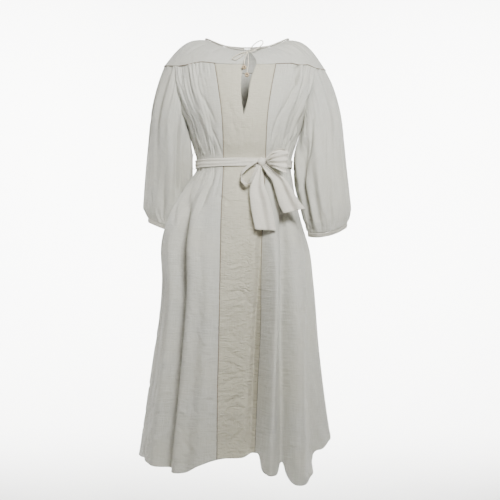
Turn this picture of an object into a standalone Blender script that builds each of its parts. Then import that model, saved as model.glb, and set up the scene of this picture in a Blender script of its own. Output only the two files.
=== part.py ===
"""A worn linen dress: gathered yoke, balloon sleeves, tied sash and neck tie.

Metres, +Z up, the front faces -Y and +X is the photo's right. The origin lies between the
two shoulders, where the wearer holds the dress up.
"""

import math

import bmesh
import bpy
import numpy as np

CLOTH = 0.0015
SEAM_GAP = 0.0003
YOKE_GAP = 0.0006
LONG_SEAM_GAP = 0.0007
# The long seams run about this far from the middle line, which turns their gap into an angle.
SEAM_RADIUS = 0.22
DEGREE = math.pi / 180
HALF_SEAM_ANGLE = 0.5 * LONG_SEAM_GAP / SEAM_RADIUS / DEGREE

# Where the yoke ends and the armholes, waist and belt lie.
YOKE_FRONT_HEIGHT = -0.086
YOKE_BACK_HEIGHT = -0.076
YOKE_SIDE_HEIGHT = -0.066
ARMHOLE_ANGLE = 59.0
UNDERARM_HEIGHT = -0.245
BELT_TOP = -0.343
BELT_BOTTOM = -0.365
PANEL_ANGLE = 21.5
HEM_LEVEL = -1.18

# The smooth body section at each height: half widths to either side and half depths.
BODY_SECTIONS = (
    # height, left, right, front, back
    (-0.060, 0.231, 0.231, 0.112, 0.098),
    (-0.140, 0.219, 0.219, 0.136, 0.117),
    (-0.200, 0.191, 0.191, 0.144, 0.123),
    (-0.245, 0.165, 0.164, 0.142, 0.122),
    (-0.300, 0.147, 0.143, 0.128, 0.111),
    (-0.343, 0.137, 0.131, 0.111, 0.099),
    (-0.365, 0.137, 0.130, 0.111, 0.099),
    (-0.400, 0.154, 0.134, 0.122, 0.108),
    (-0.450, 0.188, 0.141, 0.134, 0.122),
    (-0.520, 0.225, 0.158, 0.146, 0.138),
    (-0.600, 0.241, 0.179, 0.153, 0.150),
    (-0.680, 0.236, 0.186, 0.158, 0.158),
    (-0.860, 0.252, 0.199, 0.166, 0.178),
    (-1.000, 0.270, 0.215, 0.171, 0.190),
    (-1.220, 0.300, 0.248, 0.178, 0.205),
)

# The two long seams of the centre front panel.
PANEL_SEAMS = (
    # height, left, right
    (-0.086, -0.082, 0.085),
    (-0.150, -0.072, 0.073),
    (-0.230, -0.062, 0.062),
    (-0.350, -0.059, 0.057),
    (-0.500, -0.064, 0.054),
    (-0.800, -0.068, 0.050),
    (-1.000, -0.073, 0.040),
    (-1.220, -0.078, 0.027),
)

# Large folds. Each grows from one height to the next, and fades by the third.
FOLDS = (
    # begins, full, ends, angle at the start, angle where full, at the hem, half width, outward
    (-0.40, -0.90, -9.0, 2.0, 2.0, -5.0, 11.0, -0.044),
    (-0.37, -0.60, -9.0, 22.0, 16.0, 7.0, 5.0, -0.024),
    (-0.37, -0.80, -9.0, 34.0, 22.0, 15.0, 5.5, 0.034),
    (-0.37, -0.60, -9.0, 50.0, 38.0, 24.0, 4.5, -0.026),
    (-0.37, -0.95, -9.0, 62.0, 38.0, 32.0, 10.0, 0.050),
    (-0.45, -1.00, -9.0, 75.0, 62.0, 58.0, 7.0, -0.022),
    (-0.40, -0.80, -9.0, 88.0, 84.0, 88.0, 9.0, 0.010),
    (-0.366, -0.41, -0.56, -37.0, -36.0, -33.0, 3.6, -0.007),
    (-0.37, -0.80, -9.0, -30.0, -24.0, -24.0, 8.0, 0.024),
    (-0.37, -0.60, -9.0, -44.0, -35.0, -38.0, 5.5, 0.022),
    (-0.37, -0.55, -9.0, -72.0, -47.0, -47.0, 5.0, -0.024),
    (-0.37, -0.52, -9.0, -84.0, -64.0, -60.0, 8.0, 0.014),
    (-0.38, -0.47, -0.70, -118.0, -118.0, -118.0, 24.0, -0.030),
    (-0.40, -0.90, -9.0, -110.0, -104.0, -100.0, 8.0, 0.014),
    (-0.40, -0.90, -9.0, -130.0, -128.0, -124.0, 9.0, -0.016),
    (-0.40, -0.90, -9.0, -146.0, -146.0, -148.0, 9.0, 0.020),
    (-0.40, -0.90, -9.0, -166.0, -166.0, -168.0, 8.0, -0.018),
    (-0.40, -0.90, -9.0, 174.0, 174.0, 174.0, 8.0, 0.020),
    (-0.40, -0.90, -9.0, 152.0, 152.0, 154.0, 8.0, -0.016),
    (-0.40, -0.90, -9.0, 130.0, 130.0, 134.0, 9.0, 0.020),
    (-0.40, -0.90, -9.0, 108.0, 108.0, 112.0, 8.0, -0.014),
)

# Depth of the gathers that run down from the yoke and out of the belt.
GATHERS = (
    # height, outward
    (-0.066, 0.0012),
    (-0.110, 0.0050),
    (-0.180, 0.0060),
    (-0.250, 0.0045),
    (-0.320, 0.0030),
    (-0.343, 0.0012),
    (-0.365, 0.0012),
    (-0.390, 0.0040),
    (-0.470, 0.0060),
    (-0.700, 0.0060),
    (-1.220, 0.0070),
)
GATHERS_IN_TURN = 26
# Over this angle the gathers fade out beside a long seam.
GATHER_FADE = 4.0
# Small gathers under the yoke and at the belt: a crest and a trough on columns in turn.
SMALL_GATHERS = (
    # height, outward
    (-0.066, 0.0008),
    (-0.090, 0.0030),
    (-0.120, 0.0032),
    (-0.160, 0.0018),
    (-0.220, 0.0006),
    (-0.290, 0.0012),
    (-0.343, 0.0000),
    (-0.365, 0.0000),
    (-0.385, 0.0018),
    (-0.430, 0.0012),
    (-0.520, 0.0000),
)

HEM_HEIGHTS = (
    # angle, height
    (-180.0, -1.170),
    (-135.0, -1.175),
    (-90.0, -1.176),
    (-75.0, -1.174),
    (-64.0, -1.180),
    (-57.0, -1.187),
    (-48.0, -1.192),
    (-40.0, -1.197),
    (-36.0, -1.195),
    (-30.0, -1.177),
    (-24.0, -1.165),
    (-16.0, -1.162),
    (-4.0, -1.164),
    (5.0, -1.162),
    (10.0, -1.157),
    (16.0, -1.149),
    (21.5, -1.147),
    (24.5, -1.166),
    (27.0, -1.191),
    (31.0, -1.197),
    (34.0, -1.187),
    (36.0, -1.176),
    (38.5, -1.204),
    (43.0, -1.225),
    (50.0, -1.218),
    (58.0, -1.207),
    (61.0, -1.198),
    (65.0, -1.166),
    (76.0, -1.152),
    (90.0, -1.134),
    (104.0, -1.136),
    (140.0, -1.162),
    (180.0, -1.170),
)

# How far the yoke's seam dips below its even curve.
YOKE_DIPS = (
    # angle, dip
    (-180.0, 0.000),
    (-112.0, 0.000),
    (-90.0, 0.006),
    (-71.0, 0.010),
    (-55.0, 0.011),
    (-44.0, 0.006),
    (-31.0, -0.003),
    (-20.0, 0.000),
    (22.0, 0.001),
    (33.0, 0.001),
    (42.0, 0.007),
    (49.0, 0.007),
    (58.0, 0.016),
    (72.0, 0.020),
    (90.0, 0.017),
    (112.0, 0.004),
    (135.0, 0.000),
    (180.0, 0.000),
)

# The neck opening and the slit below it.
NECK_CENTER = 0.006
NECK_HALF_WIDTH = 0.118
NECK_FRONT = 0.086
NECK_BACK = 0.062
NECK_FRONT_DROP = 0.045
NECK_BACK_DROP = 0.012
SHOULDER_RISE = 0.026
CHEST_RISE = 0.005
SLIT_ROW = 4
# The panel's middle bends towards the slit's over this height.
SLIT_BLEND = 0.08
SLIT = (
    # height, middle, half width
    (-0.045, 0.0060, 0.0030),
    (-0.060, 0.0110, 0.0080),
    (-0.086, 0.0100, 0.0120),
    (-0.120, 0.0040, 0.0125),
    (-0.150, 0.0010, 0.0110),
    (-0.185, -0.0005, 0.0085),
    (-0.228, -0.0030, 0.0000),
)

# Each sleeve as a tube from the armhole (share 0) to the cuff (share 1).
SLEEVE_RIGHT = (
    # share, outer x, inner x, middle y, half depth
    (0.00, 0.235, 0.168, 0.000, 0.058),
    (0.10, 0.252, 0.160, 0.000, 0.064),
    (0.25, 0.266, 0.150, -0.002, 0.070),
    (0.50, 0.279, 0.144, -0.010, 0.074),
    (0.75, 0.291, 0.156, -0.020, 0.075),
    (0.92, 0.298, 0.169, -0.026, 0.070),
    (1.00, 0.288, 0.178, -0.028, 0.058),
)
SLEEVE_LEFT = (
    # share, outer x, inner x, middle y, half depth
    (0.00, -0.231, -0.169, 0.000, 0.058),
    (0.10, -0.244, -0.163, 0.004, 0.064),
    (0.25, -0.260, -0.155, 0.016, 0.070),
    (0.50, -0.277, -0.152, 0.050, 0.072),
    (0.75, -0.293, -0.156, 0.094, 0.070),
    (0.92, -0.299, -0.160, 0.118, 0.065),
    (1.00, -0.288, -0.170, 0.126, 0.055),
)
SLEEVE_GATHERS = (
    # share, outward
    (0.00, 0.0000),
    (0.08, 0.0035),
    (0.30, 0.0060),
    (0.60, 0.0050),
    (0.85, 0.0065),
    (0.95, 0.0040),
    (1.00, 0.0008),
)
# The same small gathers, a crest and a trough on columns in turn, close above the cuff.
SLEEVE_SMALL_GATHERS = (
    # share, outward
    (0.00, 0.0000),
    (0.70, 0.0000),
    (0.90, 0.0022),
    (0.965, 0.0022),
    (1.00, 0.0000),
)
SLEEVE_WAVES = 11
# Half the part of the sleeve's edge that lies under the yoke, in degrees round the arm.
YOKE_ARC_HALF = 60.0
# The sleeve's edge stands off the body's: edge to edge at the yoke, side by side below.
APART_AT_YOKE = 0.0012
APART_BELOW = 0.0012
SLEEVE_EDGE_DROP = 1.3 * YOKE_GAP
# Share of the sleeve's length over which the armhole's edge turns into the table's ellipse.
SLEEVE_BLEND = 0.38
# The sleeve's lower edge: its height, how much higher its outer side is, and its sag in front and behind.
CUFF_RIGHT = (-0.533, 0.013, 0.012)
CUFF_LEFT = (-0.522, 0.020, 0.004)
CUFF_HEIGHT = 0.012
CUFF_WALL = 0.0022
# How much narrower the cuff's lower edge is, as a share of its size.
CUFF_DRAW = 0.02

# The thread loops at the side seams, which the sash runs through.
CARRIER_RADIUS = 0.0009
CARRIER_ANGLE = 87.0
CARRIER_SLACK_LEFT = 0.004
CARRIER_SLACK_RIGHT = 0.001
# The body's wall slants under the loop, so it stands this much further off.
CARRIER_OFF = 0.0008
CARRIER_ROUTE = (
    # height, share of the way out over the sash
    (-0.318, 0.0),
    (-0.326, 0.7),
    (-0.345, 1.0),
    (-0.361, 1.0),
    (-0.369, 0.25),
)

# Rows of the grids, as shares of the way from the top edge to the belt and on to the hem.
BODICE_ROWS = (0.0, 0.10, 0.23, 0.38, 0.5525, 0.77, 1.0)
SKIRT_ROWS = (0.0, 0.035, 0.095, 0.18, 0.30, 0.46, 0.64, 0.82, 1.0)
SLEEVE_ROWS = (0.0, 0.06, 0.14, 0.26, 0.42, 0.60, 0.77, 0.90, 0.965, 1.0)
YOKE_ROWS = 4
PANEL_SHARES = (0.0, 0.26, 0.50, 0.72, 0.88, 1.0)
PANEL_COLUMNS = len(PANEL_SHARES) - 1
SIDE_FRONT_COLUMNS = 26
BACK_COLUMNS = 44
ARMHOLE_COLUMNS = 8
SLEEVE_COLUMNS = 48

BELT_WALL = 0.0022
BELT_OFF_BODY = 0.0040
BELT_COLUMNS = 48
BINDING_RADIUS = 0.0024
# The binding leaves this angle free on either side of the slit, and this gap above the yoke.
BINDING_FREE = 4.0
BINDING_GAP = 1.6 * SEAM_GAP
BINDING_POINTS = 46
TIE_RADIUS = 0.0015
BEAD_RADIUS = 0.0065
BEAD_FLATTEN = 0.9
BEAD_OFF = 0.0008

BELT_KNOT = (0.046, -0.1180, -0.354)
BELT_KNOT_SIZE = (0.012, 0.008, 0.012)
TIE_KNOT = (0.0062, -0.0978, -0.050)
TIE_KNOT_SIZE = (0.0040, 0.0035, 0.0045)

# The tails are a little hollow along their middles.
TAIL_HOLLOW = 0.004

# Strips of the sash: the middle of each row, its half width and which way the width runs.
TAIL_LEFT = (
    # x, y, z, half width, turn, lean
    (0.0400, -0.1205, -0.3643, 0.005, 0.0, -31.0),
    (0.036, -0.131, -0.392, 0.014, 12.0, 4.0),
    (0.034, -0.139, -0.425, 0.021, 12.0, 8.0),
    (0.041, -0.145, -0.460, 0.026, 6.0, 6.0),
    (0.049, -0.150, -0.501, 0.028, 0.0, 4.0),
    (0.057, -0.155, -0.542, 0.028, -4.0, -3.0),
)
TAIL_RIGHT = (
    # x, y, z, half width, turn, lean
    (0.0520, -0.1205, -0.3643, 0.005, 0.0, 31.0),
    (0.074, -0.126, -0.385, 0.014, 16.0, 20.0),
    (0.093, -0.132, -0.405, 0.020, 16.0, 0.0),
    (0.106, -0.139, -0.433, 0.024, 14.0, 0.0),
    (0.120, -0.144, -0.466, 0.028, 10.0, 6.0),
    (0.134, -0.147, -0.490, 0.030, 8.0, 12.0),
)
LOOP_LEFT = (
    # x, y, z, half width, turn, lean
    (0.0338, -0.1195, -0.3527, 0.005, 60.0, -60.0),
    (0.010, -0.126, -0.368, 0.008, 60.0, -62.0),
    (-0.008, -0.132, -0.386, 0.009, 62.0, -80.0),
    (-0.009, -0.137, -0.402, 0.009, 64.0, -110.0),
    (0.004, -0.142, -0.416, 0.009, 66.0, -150.0),
    (0.015, -0.146, -0.414, 0.008, 66.0, -190.0),
    (0.022, -0.146, -0.398, 0.008, 64.0, -210.0),
    (0.030, -0.138, -0.380, 0.006, 60.0, -215.0),
    (0.034, -0.130, -0.366, 0.005, 60.0, -215.0),
)
LOOP_RIGHT = (
    # x, y, z, half width, turn, lean
    (0.0580, -0.1185, -0.3510, 0.005, 0.0, 100.0),
    (0.075, -0.121, -0.338, 0.013, 10.0, 84.0),
    (0.094, -0.124, -0.340, 0.022, 8.0, 84.0),
    (0.112, -0.130, -0.351, 0.029, 4.0, 84.0),
    (0.115, -0.142, -0.356, 0.031, 0.0, 86.0),
    (0.100, -0.150, -0.356, 0.028, -4.0, 92.0),
    (0.080, -0.146, -0.355, 0.019, -6.0, 98.0),
    (0.0625, -0.1270, -0.3545, 0.007, -6.0, 98.0),
)

# The neck tie's cords.
TIE_LOOP_LEFT = (
    (0.0014, -0.0976, -0.0500),
    (-0.010, -0.104, -0.054),
    (-0.026, -0.110, -0.063),
    (-0.034, -0.115, -0.071),
    (-0.027, -0.118, -0.075),
    (-0.013, -0.115, -0.067),
    (-0.0005, -0.1040, -0.0550),
)
TIE_LOOP_RIGHT = (
    (0.0110, -0.0974, -0.0485),
    (0.018, -0.096, -0.037),
    (0.032, -0.097, -0.024),
    (0.046, -0.098, -0.018),
    (0.050, -0.100, -0.026),
    (0.036, -0.103, -0.040),
    (0.022, -0.104, -0.048),
    (0.0120, -0.1012, -0.0512),
)
TIE_END_LEFT = (
    (0.0043, -0.0998, -0.0540),
    (0.0038, -0.1080, -0.0605),
    (0.0010, -0.1170, -0.0705),
    (-0.0012, -0.1270, -0.0815),
    (-0.0015, -0.1330, -0.0915),
)
TIE_END_RIGHT = (
    (0.0079, -0.0998, -0.0540),
    (0.0095, -0.1080, -0.0620),
    (0.0102, -0.1180, -0.0740),
    (0.0090, -0.1290, -0.0920),
    (0.0060, -0.1390, -0.1130),
)

MATERIALS = {
    # name: colour in linear light, roughness
    "linen": ((0.69, 0.67, 0.60), 0.92),
    "sash_linen": ((0.71, 0.69, 0.61), 0.90),
    "binding_linen": ((0.62, 0.58, 0.50), 0.90),
    "cord_cotton": ((0.66, 0.62, 0.53), 0.88),
    "bead_wood": ((0.36, 0.22, 0.10), 0.55),
}


def clear_scene():
    """Removes the objects of the startup scene."""
    for thing in list(bpy.data.objects):
        bpy.data.objects.remove(thing, do_unlink=True)


def smooth_step(value):
    """Rises smoothly from 0 to 1 as the value does."""
    share = np.clip(value, 0.0, 1.0)
    return share * share * (3.0 - 2.0 * share)


def through(table, column, at):
    """A smooth curve through one column of a table, read against its first column."""
    rows = np.array(table, float)
    keys = rows[:, 0]
    values = rows[:, column]
    if keys[0] > keys[-1]:
        keys = keys[::-1]
        values = values[::-1]
    steps = np.diff(values) / np.diff(keys)
    slopes = np.concatenate([steps[:1], 0.5 * (steps[:-1] + steps[1:]), steps[-1:]])
    turning = np.concatenate([[False], steps[:-1] * steps[1:] <= 0.0, [False]])
    slopes[turning] = 0.0
    at = np.clip(at, keys[0], keys[-1])
    piece = np.clip(np.searchsorted(keys, at) - 1, 0, len(keys) - 2)
    span = keys[piece + 1] - keys[piece]
    share = (at - keys[piece]) / span
    back = 1.0 - share
    return (
        values[piece] * back * back * (1.0 + 2.0 * share)
        + values[piece + 1] * share * share * (3.0 - 2.0 * share)
        + span * share * back * (slopes[piece] * back - slopes[piece + 1] * share)
    )


def wrapped(angle):
    """The same angle between -180 and 180."""
    return (angle + 180.0) % 360.0 - 180.0


def yoke_edge_height(angle):
    """Height of the yoke's lower seam: an even curve, less its dips."""
    angle = wrapped(angle)
    front = np.cos(angle * DEGREE) > 0.0
    middle = np.where(front, YOKE_FRONT_HEIGHT, YOKE_BACK_HEIGHT)
    side = np.sin(angle * DEGREE) ** 2
    return middle + (YOKE_SIDE_HEIGHT - middle) * side - through(YOKE_DIPS, 1, angle)


def body_ring(angle, height):
    """The smooth section's point and outward direction, with no folds."""
    sine = np.sin(angle * DEGREE)
    cosine = np.cos(angle * DEGREE)
    left, right, front, back = (through(BODY_SECTIONS, column, height) for column in range(1, 5))
    wide = np.where(sine < 0.0, left, right)
    deep = np.where(cosine > 0.0, front, back)
    out = np.stack([sine / wide, -cosine / deep], axis=-1)
    out /= np.linalg.norm(out, axis=-1, keepdims=True)
    return np.stack([wide * sine, -deep * cosine], axis=-1), out


def worn_angle(cloth_angle, height):
    """Where a line of the cloth lies on the body: the panel's seams bend with the photo's."""
    left = through(PANEL_SEAMS, 1, height) / through(BODY_SECTIONS, 1, height)
    right = through(PANEL_SEAMS, 2, height) / through(BODY_SECTIONS, 2, height)
    left = np.arcsin(left) / DEGREE
    right = np.arcsin(right) / DEGREE
    middle = (cloth_angle + PANEL_ANGLE) / (2.0 * PANEL_ANGLE)
    inside = left + (right - left) * middle
    share_left = (cloth_angle + 90.0) / (90.0 - PANEL_ANGLE)
    share_right = (90.0 - cloth_angle) / (90.0 - PANEL_ANGLE)
    on_left = -90.0 + (left + 90.0) * share_left
    on_right = 90.0 - (90.0 - right) * share_right
    worn = np.where(cloth_angle > PANEL_ANGLE, on_right, inside)
    worn = np.where(cloth_angle < -PANEL_ANGLE, on_left, worn)
    return np.where(np.abs(cloth_angle) > 90.0, cloth_angle, worn)


def fold_depth(angle, height):
    """The large folds at a place, summed from the table."""
    total = np.zeros(np.broadcast(angle, height).shape)
    for begins, full, ends, angle_start, angle_full, angle_hem, half_width, outward in FOLDS:
        grown = smooth_step((height - begins) / (full - begins))
        kept = 1.0 - smooth_step((height - full) / (ends - full))
        path = ((0.0, angle_start), (full - begins, angle_full), (HEM_LEVEL - begins, angle_hem))
        middle = through(path, 1, height - begins)
        away = wrapped(angle - middle) / half_width
        total = total + outward * grown * kept * np.exp(-away * away)
    return total


def gather_depth(cloth_angle, height):
    """Gathers between the seams; they lie flat at the seams and on the centre panel."""
    clear = np.abs(cloth_angle) - PANEL_ANGLE
    from_panel = smooth_step(clear / GATHER_FADE)
    from_side = smooth_step(np.abs(np.abs(cloth_angle) - 90.0) / GATHER_FADE)
    turn = cloth_angle * DEGREE
    drift = 0.7 * np.sin(5.0 * turn + 0.6) + 0.5 * np.sin(11.0 * turn)
    wave = np.cos(GATHERS_IN_TURN * turn + drift)
    uneven = 0.75 + 0.25 * np.sin(7.0 * turn + 1.3)
    return through(GATHERS, 1, height) * wave * uneven * from_panel * from_side


def body_point(cloth_angle, height, crest=0.0):
    """The body's middle surface with its folds and gathers; crest is 1 on a small gather, -1 beside it."""
    angle = worn_angle(cloth_angle, height)
    ring, out = body_ring(angle, height)
    depth = fold_depth(angle, height) + gather_depth(cloth_angle, height)
    depth = depth + through(SMALL_GATHERS, 1, height) * crest
    flat = ring + out * depth[..., None]
    return np.concatenate([flat, np.broadcast_to(height, depth.shape)[..., None]], axis=-1)


def armhole_cloth(turn, corner):
    """Cloth angle and height down an armhole, from the yoke's corner (turn 0) to the underarm (90)."""
    underarm = 90.0 * np.sign(corner)
    angle = corner + (underarm - corner) * (1.0 - np.cos(turn * DEGREE))
    top = yoke_edge_height(np.asarray(corner))
    return angle, top + (UNDERARM_HEIGHT - top) * np.sin(turn * DEGREE)


def armhole_columns(corner):
    """The armhole at the columns of the body's grid."""
    turns = np.linspace(0.0, 90.0, ARMHOLE_COLUMNS + 1)
    return armhole_cloth(turns, corner)


def body_rows(tops, hems):
    """Heights of a body grid: rows meet the belt's two edges on every column."""
    upper = np.array(BODICE_ROWS)[:, None]
    lower = np.array(SKIRT_ROWS)[:, None]
    tops = tops - YOKE_GAP
    bodice = tops + (BELT_TOP - tops) * upper
    skirt = BELT_BOTTOM + (hems - BELT_BOTTOM) * lower
    return np.concatenate([bodice, skirt])


def material(name):
    """The named material, made the first time."""
    color, roughness = MATERIALS[name]
    made = bpy.data.materials.get(name) or bpy.data.materials.new(name)
    made.use_nodes = True
    shader = made.node_tree.nodes["Principled BSDF"]
    shader.inputs["Base Color"].default_value = (*color, 1.0)
    shader.inputs["Roughness"].default_value = roughness
    return made


def place(name, data, material_name):
    """Puts a new object into the dress's collection with its material."""
    made = bpy.data.objects.new(name, data)
    data.materials.append(material(material_name))
    bpy.data.collections["linen_dress"].objects.link(made)
    return made


def grid_faces(rows, columns, round_columns=False):
    """The four-sided faces of a grid; a round one closes from its last column to its first."""
    across = columns if round_columns else columns - 1
    row, column = np.meshgrid(np.arange(rows - 1), np.arange(across), indexing="ij")
    after = (column + 1) % columns
    corners = [
        row * columns + column,
        (row + 1) * columns + column,
        (row + 1) * columns + after,
        row * columns + after,
    ]
    return np.stack(corners, axis=-1).reshape(-1, 4)


def cloth(name, points, material_name, wall=CLOTH, round_columns=False, faces=None, merge=False, flip=False):
    """A cloth wall: the grid is its middle surface, and Solidify gives it its thickness."""
    rows, columns = points.shape[:2]
    if faces is None:
        faces = grid_faces(rows, columns, round_columns)
    if flip:
        faces = faces[:, ::-1]
    mesh = bpy.data.meshes.new(name)
    mesh.from_pydata(points.reshape(-1, 3).tolist(), [], faces.tolist())
    if merge:
        weld_points(mesh)
    made = place(name, mesh, material_name)
    shell = made.modifiers.new("wall", "SOLIDIFY")
    shell.thickness = wall
    shell.offset = 0.0
    shell.use_even_offset = False
    return made


def weld_points(mesh):
    """Makes points one where two edges of a grid meet."""
    work = bmesh.new()
    work.from_mesh(mesh)
    bmesh.ops.remove_doubles(work, verts=work.verts, dist=0.0001)
    bmesh.ops.dissolve_degenerate(work, edges=work.edges, dist=0.0001)
    work.to_mesh(mesh)
    work.free()


def tube(name, points, radius, material_name, bevel=2):
    """A round cord through the given points, with filled ends."""
    curve = bpy.data.curves.new(name, "CURVE")
    curve.dimensions = "3D"
    curve.bevel_depth = radius
    curve.bevel_resolution = bevel
    curve.use_fill_caps = True
    line = curve.splines.new("POLY")
    line.points.add(len(points) - 1)
    for knot, point in zip(line.points, points):
        knot.co = (*point, 1.0)
    return place(name, curve, material_name)


def smooth_route(knots, count):
    """Points along a smooth curve through the knots."""
    keys = np.linspace(0.0, 1.0, len(knots))
    at = np.linspace(0.0, 1.0, count)
    table = np.column_stack([keys, np.array(knots)])
    return np.stack([through(table, column, at) for column in (1, 2, 3)], axis=-1)


def center_panel_half(side):
    """The centre panel from its middle line (column 0) to one long seam, opened along the slit."""
    cloth_angles = (PANEL_ANGLE - HALF_SEAM_ANGLE) * np.array(PANEL_SHARES)
    tops = yoke_edge_height(cloth_angles)
    hems = through(HEM_HEIGHTS, 1, side * cloth_angles)
    heights = body_rows(tops, hems)
    points = body_point(np.broadcast_to(side * cloth_angles, heights.shape), heights)
    in_slit = (np.arange(len(heights)) < SLIT_ROW)[:, None]
    bottom = heights[SLIT_ROW, 0]
    above = smooth_step((heights - bottom) / SLIT_BLEND + 1.0)
    opened = through(SLIT, 1, heights) * above + side * through(SLIT, 2, heights) * in_slit
    near = 1.0 - np.array(PANEL_SHARES)
    points[..., 0] += (opened - points[..., :1, 0] * above) * near
    return points


def build_center_panel():
    """Both halves in one sheet: they meet below the slit and stand apart along it."""
    left = center_panel_half(-1.0)[:, ::-1]
    right = center_panel_half(1.0)
    points = np.concatenate([left, right], axis=1)
    rows, columns = points.shape[:2]
    faces = grid_faces(rows, columns)
    between_halves = faces[:, 0] % columns == PANEL_COLUMNS
    cloth("front_center_panel", points, "linen", faces=faces[~between_halves], merge=True)


def crests(count):
    """Uneven crests and troughs in turn, with none at either end."""
    column = np.arange(count)
    made = np.where(column % 2 == 0, -1.0, 1.0) * (0.8 + 0.2 * np.sin(1.9 * column))
    made[[0, -1]] = 0.0
    return made


def gathered_columns():
    """Cloth angles of a side front between the centre panel and the armhole."""
    return np.linspace(PANEL_ANGLE, ARMHOLE_ANGLE, SIDE_FRONT_COLUMNS - ARMHOLE_COLUMNS + 1)


def back_columns():
    """Cloth angles of the back between its two armholes."""
    corner = 180.0 - ARMHOLE_ANGLE
    return np.linspace(corner, 360.0 - corner, BACK_COLUMNS - 2 * ARMHOLE_COLUMNS + 1)


def build_side_front(name, side):
    """A side front: level under the yoke, then down the front of the armhole."""
    gathered = side * gathered_columns()
    armhole, drops = armhole_columns(side * ARMHOLE_ANGLE)
    angles = np.concatenate([gathered, armhole[1:]])
    tops = np.concatenate([yoke_edge_height(gathered), drops[1:]])
    angles[0] += side * HALF_SEAM_ANGLE
    angles[-1] -= side * HALF_SEAM_ANGLE
    heights = body_rows(tops, through(HEM_HEIGHTS, 1, angles))
    crest = np.concatenate([crests(len(gathered)), np.zeros(ARMHOLE_COLUMNS)])
    points = body_point(np.broadcast_to(angles, heights.shape), heights, crest)
    cloth(name, points, "linen", flip=side < 0.0)


def build_back():
    """The back, with half of each armhole at its ends."""
    corner = 180.0 - ARMHOLE_ANGLE
    right, right_drops = armhole_columns(corner)
    left, left_drops = armhole_columns(-corner)
    plain = back_columns()
    angles = np.concatenate([right[:0:-1], plain, 360.0 + left[1:]])
    tops = np.concatenate([right_drops[:0:-1], yoke_edge_height(plain), left_drops[1:]])
    angles[0] += HALF_SEAM_ANGLE
    angles[-1] -= HALF_SEAM_ANGLE
    heights = body_rows(tops, through(HEM_HEIGHTS, 1, wrapped(angles)))
    beside = np.zeros(ARMHOLE_COLUMNS)
    crest = np.concatenate([beside, crests(len(plain)), beside])
    points = body_point(wrapped(np.broadcast_to(angles, heights.shape)), heights, crest)
    cloth("back_panel", points, "linen")


def neck_ring(angle):
    """The neckline at an angle."""
    sine = np.sin(angle * DEGREE)
    cosine = np.cos(angle * DEGREE)
    front = cosine > 0.0
    deep = np.where(front, NECK_FRONT, NECK_BACK)
    drop = np.where(front, NECK_FRONT_DROP, NECK_BACK_DROP)
    x = NECK_CENTER + NECK_HALF_WIDTH * sine
    return np.stack([x, -deep * cosine, -drop * cosine * cosine], axis=-1)


def yoke_point(cloth_angle, share):
    """The yoke between the neckline (share 0) and its seam (share 1), arched over the shoulder."""
    height = yoke_edge_height(cloth_angle)
    angle = worn_angle(wrapped(cloth_angle), height)
    top = neck_ring(angle)
    ring, _ = body_ring(angle, height)
    bottom = np.concatenate([ring, height[..., None]], axis=-1)
    side = np.sin(angle * DEGREE) ** 2
    arch = np.sin(np.pi * share)
    point = top + (bottom - top) * share[..., None]
    point[..., 2] += SHOULDER_RISE * side * arch
    point[..., 1] -= CHEST_RISE * np.cos(angle * DEGREE) * arch
    return point


def build_yoke(name, angles, slit_side=0.0, flip=False):
    """One piece of the yoke; a front half gives way to the slit on its own side."""
    shares = np.linspace(0.0, 1.0, YOKE_ROWS + 1)[:, None]
    grid_angles, grid_shares = np.broadcast_arrays(angles, shares)
    points = yoke_point(grid_angles, grid_shares)
    if slit_side:
        height = points[..., 2]
        opened = through(SLIT, 1, height) + slit_side * through(SLIT, 2, height)
        at_middle = yoke_point(np.zeros_like(grid_angles), grid_shares)[..., 0]
        near = smooth_step(1.0 - np.abs(grid_angles) / PANEL_ANGLE)
        points[..., 0] += (opened - at_middle) * near
    cloth(name, points, "linen", flip=flip)


def build_yokes():
    """Front halves and back; their columns meet those of the panels and sleeves below."""
    over_panel = PANEL_ANGLE * np.array(PANEL_SHARES)
    over_gathers = gathered_columns()
    over_sleeve = np.linspace(ARMHOLE_ANGLE, 90.0, SLEEVE_COLUMNS // 6 + 1)
    front = np.concatenate([over_panel, over_gathers[1:], over_sleeve[1:]])
    back = np.concatenate([180.0 - over_sleeve[:0:-1], back_columns(), 180.0 + over_sleeve[1:]])
    front[-1] -= HALF_SEAM_ANGLE
    back[0] += HALF_SEAM_ANGLE
    back[-1] -= HALF_SEAM_ANGLE
    build_yoke("yoke_front_left", -front, slit_side=-1.0, flip=True)
    build_yoke("yoke_front_right", front, slit_side=1.0)
    build_yoke("yoke_back", back)


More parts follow.
